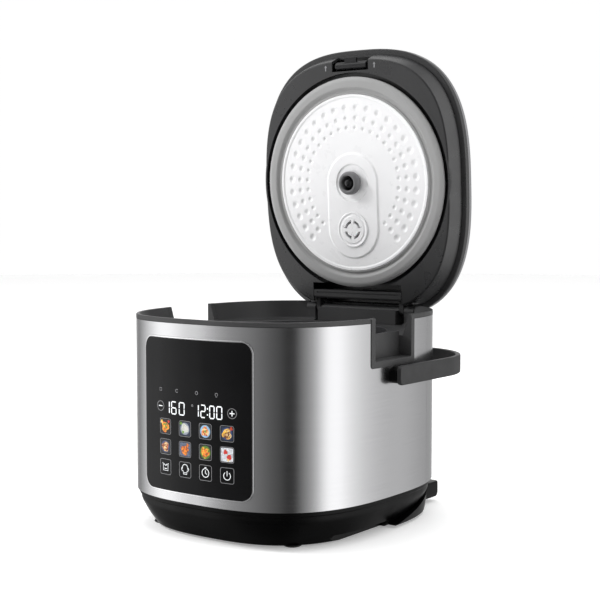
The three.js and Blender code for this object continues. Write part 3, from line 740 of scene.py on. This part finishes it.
def build_post():
    """The post that carries the inner lid."""
    post = turned("centre_post_skin", [
        (0, 193.6, 0), (3.2, 194.2, 2), (5.5, 197.6, 2), (5.5, 200.6, 2), (4.6, 203, 1), (4.6, 216.7, 0),
        (0, 216.7, 0)], False, POT_Y, sides=48)
    # Painted shade: the post is drawn near-black to stand in for the shade inside the grommet's hole.
    place(post, "lid", HOLE_SHADE_AND_BLACK_GLOSS, "fastener_steel", "centre_post")


def build_bracket():
    """The lid's half of the hinge: a bar with two bored arms."""
    half = KNUCKLE_OUT
    bar = box("hinge_bracket_skin", (-half, half), (122.3, 129.6), (207.6, 222))
    step_up = box("step", (-half, half), (129, 132.4), (210.5, 222))
    nose = cylinder("nose", 2.9, (-half, half), 129.5, 210.5, 48)
    carve(bar, [step_up, nose], "UNION")
    carve(bar, [box("groove", (4 - half, half - 4), (124.6, 126.2), (200, 208.6))])
    for side in SIDES:
        x = span(side, 55.4, half)
        arm = box("arm", x, (130, HINGE_Y), (HINGE_Z - 5, HINGE_Z + 5))
        carve(bar, [arm, cylinder("eye", 5, x, HINGE_Y, HINGE_Z)], "UNION")
    carve(bar, [shaft_bore(70)], bevel=0.5, sharp=50)
    place(bar, "lid", COLLAR, "collar_plastic", "hinge_bracket")


def build_latch():
    """The latch pawl with its hook."""
    half = 21.5
    bar = rod("latch_pawl_skin", [(0, -half, 0), (4.6, -half, 1.2), (4.6, half, 1.2), (0, half, 0)],
              -137.5, 212.6)
    body = box("body", (-21.2, 21.2), (-140, -134), (211, 219.2))
    hook = box("hook", (-8, 8), (-146.4, -138), (208.8, 211.4))
    carve(bar, [body, hook], "UNION")
    carve(bar, [cylinder("bore", 1.8, (-30, 30), -136, 217, 24)], bevel=0.5, sharp=50)
    place(bar, "latch", HOLE_SHADE_AND_BLACK_GLOSS, "collar_plastic", "latch_pawl")


def build_button():
    """The release button on its stem."""
    cap = pad("release_button_skin", 22, 9, 8.9, [(241.5, 0.2), (244.8, 0), (245.8, 0.5), (246.4, 1.6)],
              BUTTON_Y)
    carve(cap, [pad("stem", 14, 5, 4.9, [(233, 0), (242, 0)], BUTTON_Y)], "UNION")
    place(cap, "button", LINER, "collar_plastic", "release_button")


def build_vent_cap():
    """The slotted cap over the steam outlet."""
    cap = turned("steam_vent_cap_skin", [
        (0, 236, 0), (9.4, 236, 0.5), (9.4, 246.8, 0.3), (19, 246.8, 0.5), (19, 250.8, 1.6),
        (17, 252.5, 1.2), (12, 252.6, 1), (0, 252.9, 0)], False, PORT_Y)
    slots = [pad("slot", 1.4, 8, 1.3, [(249, 0), (256, 0)], PORT_Y, x) for x in (-8, 0, 8)]
    carve(cap, slots, bevel=0.3, sharp=50)
    place(cap, "vent_cap", HANDLE, "handle_plastic", "steam_vent_cap")


# ------------------------------------------------------------------ inner lid
DIMPLE_ROWS = ((86.4, 4.3, 1.5), (74.3, 3.7, 1.4), (63.4, 2.9, 1.3))
DIMPLES = 28
DIMPLE_SPAN = math.radians(137)
STADIUM = {"half": 34.3, "top": 34.3, "bottom": 87, "rise": 1.3, "edge": 2.2}
SHEET_LOW, SHEET_THICK = 206, 1.6
SHEET_HOLE_R = 10.6


def bump(distance, radius, height):
    """Depth of a smooth round dent at a distance from its middle."""
    if distance >= radius:
        return 0.0
    return height * (1 - (distance / radius) ** 2) ** 1.2


def step(distance, edge):
    """Rises from 0 outside to 1 inside a pressed outline; distance is positive inside."""
    t = min(max(distance / edge + 0.5, 0), 1)
    return t * t * (3 - 2 * t)


def plate_relief(x, y):
    """Height of the pressed pattern; y points to the lid's front edge."""
    radius, turn = math.hypot(x, y), math.atan2(x, y)
    rise = 0.0
    pitch = 2 * DIMPLE_SPAN / (DIMPLES - 1)
    nearest = round((turn + DIMPLE_SPAN) / pitch)
    if 0 <= nearest < DIMPLES:
        at = -DIMPLE_SPAN + nearest * pitch
        for row, size, height in DIMPLE_ROWS:
            gap = math.hypot(x - row * math.sin(at), y - row * math.cos(at))
            rise -= bump(gap, size, height)
    half, edge = STADIUM["half"], STADIUM["edge"]
    low, high = -STADIUM["bottom"] + half, STADIUM["top"] - half
    nearest_y = min(max(y, low), high)
    inside = half - math.hypot(x, y - nearest_y)
    rise += STADIUM["rise"] * step(inside, edge)
    rise -= 1.2 * step(21.4 - radius, 1.4)
    rise += 0.8 * step(radius - 98.2, 1.6)
    return rise


def build_inner_lid(circles=150, sides=540):
    """The pressed inner lid with its steam opening."""
    rings = []
    for n in range(circles + 1):
        radius = SHEET_HOLE_R + (INNER_LID_R - SHEET_HOLE_R) * n / circles
        ring = []
        for k in range(sides):
            turn = 2 * math.pi * k / sides
            x, y = radius * math.sin(turn), radius * math.cos(turn)
            ring.append((x, POT_Y - y, SHEET_LOW - plate_relief(x, y)))
        rings.append(ring)
    back = [[(x, y, SHEET_LOW + SHEET_THICK) for x, y, _ in ring] for ring in (rings[-1], rings[0])]
    plate = ringed("inner_lid_plate_skin", rings + back, True, sharp=60)
    carve(plate, [disc("port", 17, (190, 215), PORT_Y)])
    place(plate, "inner_lid", WHITE, "inner_lid_metal", "inner_lid_plate")


def build_seals():
    """The silicone ring round the inner lid and the grommet in its middle."""
    seal = turned("seal_ring_skin", [
        (INNER_LID_R + 0.2, 206.3, 0.2), (INNER_LID_R + 0.4, 205.5, 0.4), (103.4, 205.5, 0.6),
        (104.4, 207.1, 0.6), (106.4, 207.1, 0.8), (109.2, POT_TOP + 0.4, 1.4), (117.4, POT_TOP + 0.5, 3),
        (SEAL_R, 206.6, 2.4), (SEAL_R, 209.5, 1), (117, 211.5, 1), (104, 211.5, 0.4), (104, 208.6, 0),
        (103, 207.9, 0), (102.2, 206.6, 0)], True, POT_Y, sides=256, steps=6)
    place(seal, "inner_lid", SILICONE, "seal_silicone", "seal_ring")
    grommet = turned("centre_grommet_skin", [
        (8.2, 196.4, 0.4), (9, 194.7, 0.8), (11.4, 194.7, 1.6), (13.4, 197.2, 1.4), (13.4, 203.2, 0.8),
        (12.2, 204.3, 0.4), (10.2, 204.3, 0), (10.2, 207.4, 0), (13, 207.8, 0.3), (13, 209, 0.3),
        (8.2, 209, 0.3)], True, POT_Y, sides=96)
    place(grommet, "inner_lid", GROMMET, "seal_silicone", "centre_grommet")


def build_port():
    """The round steam port, with four curved slots."""
    port = turned("steam_port_skin", [
        (0, 203.3, 0), (15.5, 203.3, 1), (16.4, 203.9, 0.6), (18, 203.9, 0.6), (19, 203.2, 0.6),
        (20.6, 203.6, 0.8), (20.6, 204.5, 0.2), (16.7, 204.5, 0), (16.7, 208.4, 0.2), (0, 208.4, 0)],
        False, PORT_Y, sides=96)
    slots = turned("slots", [(7.8, 195, 0), (10.8, 195, 0), (10.8, 215, 0), (7.8, 215, 0)], True, PORT_Y,
                   sides=96)
    long, short = 20, 2.2
    spokes = [box("spoke", (-x, x), (PORT_Y - y, PORT_Y + y), (180, 220))
              for x, y in ((short, long), (long, short))]
    carve(slots, spokes)
    carve(port, [slots], bevel=0.25, sharp=50)
    place(port, "inner_lid", WHITE, "inner_lid_metal", "steam_port")


# ------------------------------------------------------------------ control panel
PANEL_HALF = edges("control_panel", 0)[1]
PANEL_LOW, PANEL_TOP = edges("control_panel", 2)
PANEL_FACE = 1.6


def panel_point(x, z, lift):
    """A point on the panel's face, raised by lift."""
    a, b = HALF_WIDTH + PANEL_FACE + lift, HALF_DEPTH + PANEL_FACE + lift
    return x, -b * (1 - abs(x / a) ** SQUARENESS) ** (1 / SQUARENESS), z


def panel_band(name, proud):
    """A thin band on the wrap, a little taller than the panel."""
    low, high = PANEL_LOW - 9, PANEL_TOP + 9
    return shaped(name, [(-proud, low, 0), (-proud, high, 0), (-GAP, high, 0), (-GAP, low, 0)], sides=360)


def panel_block(name, margin, corner, y):
    """An upright block as large as the panel plus a margin."""
    middle, half_z = (PANEL_LOW + PANEL_TOP) / 2, (PANEL_TOP - PANEL_LOW) / 2
    layers = [(y[0], 0), (y[1], 0)]
    return pad(name, PANEL_HALF + margin, half_z + margin, corner, layers, y=middle, upright=True)


def build_panel():
    """The black touch panel and the bright trim round it."""
    sheet = panel_band("control_panel_skin", PANEL_FACE)
    carve(sheet, [panel_block("face", 0, 11, (-190, -100))], "INTERSECT", bevel=0.4, sharp=50)
    place(sheet, "body", GLASS, "panel_gloss", "control_panel")
    rim = panel_band("panel_bezel_skin", PANEL_FACE - GAP)
    carve(rim, [panel_block("around", 1.6, 12.3, (-190, -100))], "INTERSECT")
    carve(rim, [panel_block("inside", GAP, 11, (-195, -95))], bevel=0.35, sharp=50)
    place(rim, "body", BRIGHT, "panel_trim", "panel_bezel")


# ------------------------------------------------------------------ panel graphics
def arc(x, z, radius, start=0.0, end=360.0, steps=28):
    """Points along a circle's arc, in degrees anticlockwise from the right."""
    count = steps if end - start >= 360 else steps + 1
    turns = [math.radians(start + (end - start) * k / steps) for k in range(count)]
    return [(x + radius * math.cos(t), z + radius * math.sin(t)) for t in turns]


def tile_outline(x, z, half, corner=2.0):
    """A rounded square on the panel."""
    return [(x + px, z + py) for px, py in rounded_outline(half, half, corner, 5)]


def add_stroke(built, path, width, closed=False, lift=0.02, thick=0.1):
    """A raised line of print along a path on the panel's face."""
    sections = []
    for k, (x, z) in enumerate(path):
        before = path[k - 1] if closed or k else path[k]
        after = path[(k + 1) % len(path)] if closed or k < len(path) - 1 else path[k]
        along = Vector((after[0] - before[0], after[1] - before[1])).normalized()
        side = Vector((-along.y, along.x)) * width / 2
        a, b = (x + side.x, z + side.y), (x - side.x, z - side.y)
        sections.append([panel_point(*a, lift), panel_point(*b, lift),
                         panel_point(*b, lift + thick), panel_point(*a, lift + thick)])
    made = join_rings(built, sections, closed)
    if not closed:
        built.faces.new(made[0])
        built.faces.new(made[-1])


def add_blob(built, outline, lift=0.02, thick=0.1):
    """A raised patch of print filling an outline on the panel's face."""
    cx = sum(p[0] for p in outline) / len(outline)
    cz = sum(p[1] for p in outline) / len(outline)
    levels = [(0, lift), (0.5, lift), (1, lift), (1, lift + thick), (0.5, lift + thick), (0, lift + thick)]
    rings = []
    for share, height in levels:
        ring = [(cx + (x - cx) * share, cz + (z - cz) * share) for x, z in outline]
        points = ring if share else [(cx, cz)]
        rings.append([panel_point(x, z, height) for x, z in points])
    join_rings(built, rings, False)


SEGMENTS = {"0": "abcdef", "1": "bc", "2": "abged", "6": "afgedc"}


def digit_strokes(digit, x0, x1, z0, z1):
    """The lit bars of a seven-bar digit."""
    middle, gap = (z0 + z1) / 2, 0.45
    bars = {
        "a": [(x0 + gap, z1), (x1 - gap, z1)], "g": [(x0 + gap, middle), (x1 - gap, middle)],
        "d": [(x0 + gap, z0), (x1 - gap, z0)], "b": [(x1, middle + gap), (x1, z1 - gap)],
        "c": [(x1, z0 + gap), (x1, middle - gap)], "e": [(x0, z0 + gap), (x0, middle - gap)],
        "f": [(x0, middle + gap), (x0, z1 - gap)]}
    return [bars[name] for name in SEGMENTS[digit]]


def print_piece(name, made, strokes=(), blobs=()):
    """One piece of print. Strokes are (path, width, closed); blobs are (outline, lift)."""
    built = bmesh.new()
    for path, width, closed in strokes:
        add_stroke(built, path, width, closed)
    for outline, lift in blobs:
        add_blob(built, outline, lift)
    return place(finish_mesh(name, built), "body", made, "panel_gloss")


COLUMNS = (-36.8, -9.6, 17.0, 43.2)
ROWS = (STEEL_TOP - 104.8, STEEL_TOP - 125.6, STEEL_TOP - 146.2)
TILE = 7.7
READOUT_ENDS = (-43.8, 49.0)
DIGITS = (("1", -32.4, -30.8), ("6", -27.6, -21.4), ("0", -17.0, -10.4),
          ("1", 6.4, 8.4), ("2", 11.6, 17.0), ("0", 22.8, 28.2), ("0", 31.4, 37.4))


def readout_signs(middle):
    """The colon of the clock, and a minus and a plus at the ends of the readout."""
    strokes = [([(x - 2.7, middle + 0.5), (x + 2.7, middle + 0.5)], 0.9, False) for x in READOUT_ENDS]
    plus = READOUT_ENDS[1]
    strokes.append(([(plus, middle + 3.2), (plus, middle + 1.0)], 0.9, False))
    strokes.append(([(plus, middle), (plus, middle - 2.2)], 0.9, False))
    return strokes, [(arc(20.0, middle + dz, 0.8, steps=16), 0.02) for dz in (-3, 3)]


def build_readout():
    """The lit digits and signs, and the fine grey print round them."""
    low, high = STEEL_TOP - 91.2, STEEL_TOP - 79.0
    middle = (low + high) / 2
    strokes = []
    for digit, x0, x1 in DIGITS:
        strokes += [(bar, 1.2, False) for bar in digit_strokes(digit, x0, x1, low, high)]
    signs, dots = readout_signs(middle)
    print_piece("panel_readout", PRINT, strokes + signs, dots)
    top = STEEL_TOP - 67.6
    dim = [(arc(0.4, high - 1.6, 0.9, steps=16), 0.5, True)]
    dim += [(arc(x, middle + 0.5, 4.9, steps=40), 0.5, True) for x in READOUT_ENDS]
    dim += [([(-44.8, top - 1.4), (-44.8, top + 1.4), (-42, top + 1.4), (-42, top - 1.4)], 0.45, True),
            (arc(-20.2, top, 1.6, 30, 330), 0.5, False), (arc(6, top, 1.6, steps=20), 0.5, True),
            (arc(31, top + 0.3, 1.5, -60, 240), 0.5, False),
            ([(30, top - 1.9), (32, top - 1.9)], 0.5, False)]
    for x in COLUMNS:
        dim += [(tile_outline(x, z, TILE), 0.45, True) for z in ROWS]
    print_piece("panel_fine_print", DIM_PRINT, dim)


def build_icons():
    """The line icons of the bottom row: yoghurt pot, cook's hat, clock and power."""
    z = ROWS[2]
    a, b, c, d = COLUMNS
    strokes = [
        ([(a - 4.6, z + 3.6), (a - 3.4, z + 3.2), (a - 3.4, z - 3.8), (a + 3.4, z - 3.8),
          (a + 3.4, z + 3.2), (a + 4.6, z + 3.6)], 0.6, False),
        (arc(a, z + 3.4, 2.0, 190, 350, 12), 0.7, False),
        ([(a - 1.9, z - 1.9), (a + 1.9, z - 1.9)], 0.7, False),
        (arc(b, z + 1.9, 3.6, -20, 200, 20), 0.62, False),
        (arc(b - 3.2, z + 0.6, 1.6, 120, 300, 12), 0.6, False),
        (arc(b + 3.2, z + 0.6, 1.6, -120, 60, 12), 0.6, False),
        ([(b - 2.4, z - 1.6), (b - 2.2, z - 4.4), (b + 2.2, z - 4.4), (b + 2.4, z - 1.6)], 0.62, False),
        ([(b - 1.5, z - 2.9), (b + 1.5, z - 2.9)], 0.6, False),
        (arc(c, z, 4.3, steps=32), 0.65, True),
        ([(c, z + 2.6), (c, z - 0.1), (c + 1.9, z - 1.3)], 0.7, False),
        ([(c - 1.2, z + 5.4), (c + 1.2, z + 5.4)], 0.7, False),
        (arc(d, z - 0.3, 3.9, 125, 415, 30), 0.65, False),
        ([(d, z + 4.6), (d, z - 0.4)], 0.65, False)]
    print_piece("panel_icons", PRINT, strokes)


def food(name, colours, scale):
    """Small chips of a few colours, as a printed food picture shows."""
    made, tree, shader = material(name, colours[0], 0.4)
    coords = add_node(tree, "TexCoord")
    cells = add_node(tree, "TexVoronoi", Scale=scale)
    split = add_node(tree, "SeparateColor")
    stops = [(k / len(colours), colour) for k, colour in enumerate(colours)]
    ramp = colour_ramp(tree, split.outputs["Red"], stops)
    ramp.color_ramp.interpolation = "CONSTANT"
    tree.links.new(coords.outputs["Object"], cells.inputs["Vector"])
    tree.links.new(cells.outputs["Color"], split.inputs["Color"])
    tree.links.new(ramp.outputs["Color"], shader.inputs["Base Color"])
    return made


def picture(name, colours, blobs, scale=900):
    """One layer of the pictures, printed in its own colours."""
    print_piece(f"picture_{name}", food(f"picture_{name}", colours, scale), blobs=blobs)


def shaded(colour, *shares):
    """A colour and shares of it."""
    return [colour] + [tuple(v * share for v in colour) for share in shares]


def blot(x, z, radius, seed, wobble=0.12):
    """A round patch with an uneven edge."""
    points = []
    for k in range(28):
        turn = 2 * math.pi * k / 28
        reach = radius * (1 + wobble * (math.sin(3 * turn + seed) + 0.6 * math.sin(5 * turn + 2.3 * seed)))
        points.append((x + reach * math.cos(turn), z + reach * math.sin(turn)))
    return points


ORANGE, DEEP, GREEN = (0.85, 0.20, 0.015), (0.50, 0.07, 0.008), (0.10, 0.24, 0.02)
CREAM, BROWN, YELLOW = (0.85, 0.62, 0.30), (0.16, 0.05, 0.02), (0.90, 0.50, 0.03)
RED, WHITE_RICE = (0.65, 0.02, 0.02), (0.62, 0.62, 0.58)


def build_dishes(upper, lower):
    """The grounds of the eight tiles and the dishes on them."""
    a, b, c, d = COLUMNS
    grounds = {
        "dark": ((0.012, 0.012, 0.014), [(a, upper), (c, upper), (a, lower), (c, lower)]),
        "navy": ((0.012, 0.022, 0.055), [(b, upper), (d, upper)]),
        "slate": ((0.10, 0.13, 0.20), [(b, lower)]),
        "pale": ((0.60, 0.62, 0.66), [(d, lower)])}
    for name, (colour, spots) in grounds.items():
        blobs = [(tile_outline(x, z, TILE - 0.9, 1.4), 0.02) for x, z in spots]
        picture(f"{name}_ground", shaded(colour, 1.3, 0.8), blobs)
    dishes = {
        "plate_blue": ((0.28, 0.50, 0.75), [(c, upper, 6.3)]),
        "plate_white": ((0.30, 0.34, 0.42), [(b, upper, 6.0)]),
        "plate_navy": ((0.03, 0.07, 0.20), [(d, upper, 6.2), (a, lower, 6.0)]),
        "plate_green": (GREEN, [(c, lower, 6.6)])}
    for name, (colour, spots) in dishes.items():
        picture(name, shaded(colour, 0.85), [(arc(x, z, radius, steps=32), 0.1) for x, z, radius in spots])


def build_meals(upper, lower):
    """What is on the dishes: colours, and spots of (x, z, radius, wobble seed)."""
    a, b, c, d = COLUMNS
    meals = {
        "soup": ([ORANGE, YELLOW, DEEP, GREEN, ORANGE], [(a, upper - 0.6, 5.2, 1.0)]),
        "rice": ([WHITE_RICE, (0.52, 0.54, 0.46), (0.68, 0.68, 0.64)], [(b, upper + 0.2, 4.7, 2.0)]),
        "prawns": ([ORANGE, CREAM, DEEP, CREAM], [(c, upper - 0.2, 4.7, 3.0)]),
        "grain": ([(0.55, 0.27, 0.07), CREAM, BROWN, YELLOW], [(d, upper - 0.3, 5.2, 4.0)]),
        "meat": ([BROWN, DEEP, (0.40, 0.12, 0.05), CREAM], [(a, lower, 4.9, 5.0)]),
        "pumpkin": ([ORANGE, (0.9, 0.28, 0.02), DEEP, BROWN],
                    [(b, lower - 0.8, 4.7, 6.0), (b + 3.6, lower + 4.4, 1.8, 1.5)]),
        "stew": ([DEEP, ORANGE, YELLOW, GREEN, ORANGE], [(c, lower - 0.2, 5.2, 7.0)]),
        "berries": ([RED, DEEP, RED],
                    [(d - 1.6, lower + 2.6, 2.2, 2.5), (d + 2.6, lower - 2.2, 2.6, 4.2),
                     (a + 5.0, upper + 5.0, 1.4, 0.4), (d + 5.0, upper + 5.2, 1.6, 3.1)]),
        "leaves": ([GREEN, (0.2, 0.4, 0.05)],
                   [(b - 2.2, upper - 3.4, 1.5, 1.2), (b - 5.0, upper + 5.2, 1.6, 2.0),
                    (c, upper, 1.3, 5.0), (a + 1.4, upper - 1.0, 1.5, 2.2)]),
        "bread": ([CREAM, YELLOW], [(a - 5.2, upper + 4.4, 1.7, 3.3), (d + 1.6, lower - 5.0, 1.3, 0.7)])}
    for name, (colours, spots) in meals.items():
        picture(name, colours, [(blot(*spot), 0.18) for spot in spots], 700)


# ------------------------------------------------------------------ stage
CAMERA_AZIMUTH = math.radians(36.413)
CAMERA_PITCH = math.radians(3.784)
CAMERA_PLACE = (0.8479, -1.1262, 0.1093)   # from the body's middle, at the steel's top edge
LENS = 78.14


def build_camera():
    """A camera where the photo was taken from."""
    data = bpy.data.cameras.new("camera")
    data.lens = LENS
    camera = linked("camera", data)
    x, y, z = CAMERA_PLACE
    camera.location = (x, y + MIDDLE_Y * MM, z + STEEL_TOP * MM)
    camera.rotation_euler = (math.pi / 2 - CAMERA_PITCH, 0, CAMERA_AZIMUTH)
    bpy.context.scene.camera = camera


def softbox(name, size, place_at, target, power):
    """A square soft light that leaves no reflection of itself."""
    data = bpy.data.lights.new(name, "AREA")
    data.shape, data.size, data.size_y = "RECTANGLE", size, size
    data.energy = power
    light = linked(name, data)
    light.location = place_at
    aim = Vector(target) - Vector(place_at)
    light.rotation_euler = aim.to_track_quat("-Z", "Y").to_euler()
    light.visible_glossy = False


# Brightness of the studio round the object: bearing from the front (90 is the right side), level.
STUDIO = (
    (-180, 0.40), (-165, 0.45), (-158, 1.0), (-126, 1.0), (-116, 0.30), (-104, 0.30), (-88, 0.6),
    (-72, 1.1), (-60, 1.6), (-49, 1.6), (-42, 1.2), (-38, 0.65), (-24, 0.38), (0, 0.24), (20, 0.14),
    (34, 0.09), (42, 0.04), (52, 0.04), (60, 0.22), (72, 0.45), (80, 0.7), (88, 1.2), (95, 1.6),
    (108, 1.6), (116, 1.3), (130, 0.95), (145, 0.68), (160, 0.52), (180, 0.42))
STUDIO_PEAK = 1.6


def maths(tree, operation, *values):
    """A sum on sockets and numbers."""
    node = add_node(tree, "Math")
    node.operation = operation
    for socket, value in zip(node.inputs, values):
        if isinstance(value, bpy.types.NodeSocket):
            tree.links.new(value, socket)
        else:
            socket.default_value = value
    return node.outputs["Value"]


def build_studio():
    """Tall soft panels with dark gaps between, the same at every height, dimmer underfoot."""
    world = bpy.data.worlds.new("studio")
    world.use_nodes = True
    tree = world.node_tree
    coords = add_node(tree, "TexCoord")
    split = add_node(tree, "SeparateXYZ")
    tree.links.new(coords.outputs["Generated"], split.inputs["Vector"])
    bearing = maths(tree, "ARCTAN2", split.outputs["X"], maths(tree, "MULTIPLY", split.outputs["Y"], -1))
    turn = maths(tree, "MULTIPLY_ADD", bearing, 1 / (2 * math.pi), 0.5)
    stops = [((angle + 180) / 360, (level / STUDIO_PEAK,) * 3) for angle, level in STUDIO]
    dimmed = add_node(tree, "VectorMath")
    dimmed.operation = "SCALE"
    tree.links.new(colour_ramp(tree, turn, stops).outputs["Color"], dimmed.inputs[0])
    tree.links.new(mapped(tree, split.outputs["Z"], -0.75, -0.42, 0.2, 1.0), dimmed.inputs["Scale"])
    background = tree.nodes["Background"]
    background.inputs["Strength"].default_value = STUDIO_PEAK
    tree.links.new(dimmed.outputs["Vector"], background.inputs["Color"])
    bpy.context.scene.world = world


def build_backdrop():
    """A plain pale surround that only the camera sees, so that it lights nothing."""
    built = bmesh.new()
    bmesh.ops.create_icosphere(built, subdivisions=5, radius=5.8)
    bmesh.ops.reverse_faces(built, faces=built.faces[:])
    backdrop = as_object("backdrop", built)
    made = material("backdrop_paper", (0, 0, 0), 1.0)[0]
    lit(made, (1, 1, 1), 1.0)
    backdrop.data.materials.append(made)
    backdrop.visible_glossy = backdrop.visible_diffuse = backdrop.visible_shadow = False
    backdrop.visible_transmission = backdrop.visible_volume_scatter = False


def build_floor():
    """A white paper floor."""
    built = bmesh.new()
    bmesh.ops.create_grid(built, x_segments=1, y_segments=1, size=6)
    floor = as_object("floor", built)
    made, tree, shader = material("floor_paper", (0.9, 0.9, 0.9), 0.9)
    tone = tinted(tree, noise(tree, 3), (0.89, 0.89, 0.89), (0.91, 0.91, 0.91))
    tree.links.new(tone, shader.inputs["Base Color"])
    lit(made, (1, 1, 1), 0.3)
    floor.data.materials.append(made)
    floor.visible_glossy = False


def build_stage():
    """Floor, surround and lights."""
    build_floor()
    build_backdrop()
    build_studio()
    bpy.context.scene.view_settings.view_transform = "Standard"
    softbox("key", 0.6, (-1.9, -1.0, 1.7), (0, 0.1, 0.3), 36)
    softbox("overhead", 3.0, (0, 0.2, 3.0), (0, 0, 0), 70)


def finish_cad_nodes():
    """The CAD pieces that keep their own shape, mostly inside, and their finishes."""
    keep = {
        "fastener_steel": BRIGHT, "base_black": BASE, "well_aluminium": ALUMINIUM, "circuit_board": BOARD,
        "collar_plastic": LINER, "handle_plastic": HANDLE, "foot_rubber": RUBBER, "inner_lid_metal": WHITE,
        "brushed_wrap": STEEL, "non_stick": NON_STICK, "panel_gloss": GLASS, "panel_trim": BRIGHT,
        "seal_silicone": SILICONE}
    for part in frame["record"]["subparts"]:
        node = frame["nodes"][part["node"]]
        node.data.materials.clear()
        node.data.materials.append(keep[part["material_slot"]])


finish_cad_nodes()
build_camera()
for build in (build_base, build_feet, build_wrap, build_collar, build_pockets, build_pot, build_hinge,
              build_handle, build_lid_rim, build_lid_plate, build_lid_liner, build_post, build_bracket,
              build_latch, build_button, build_vent_cap, build_inner_lid, build_seals, build_port,
              build_panel, build_readout, build_icons):
    build()
build_dishes(*ROWS[:2])
build_meals(*ROWS[:2])
build_stage()
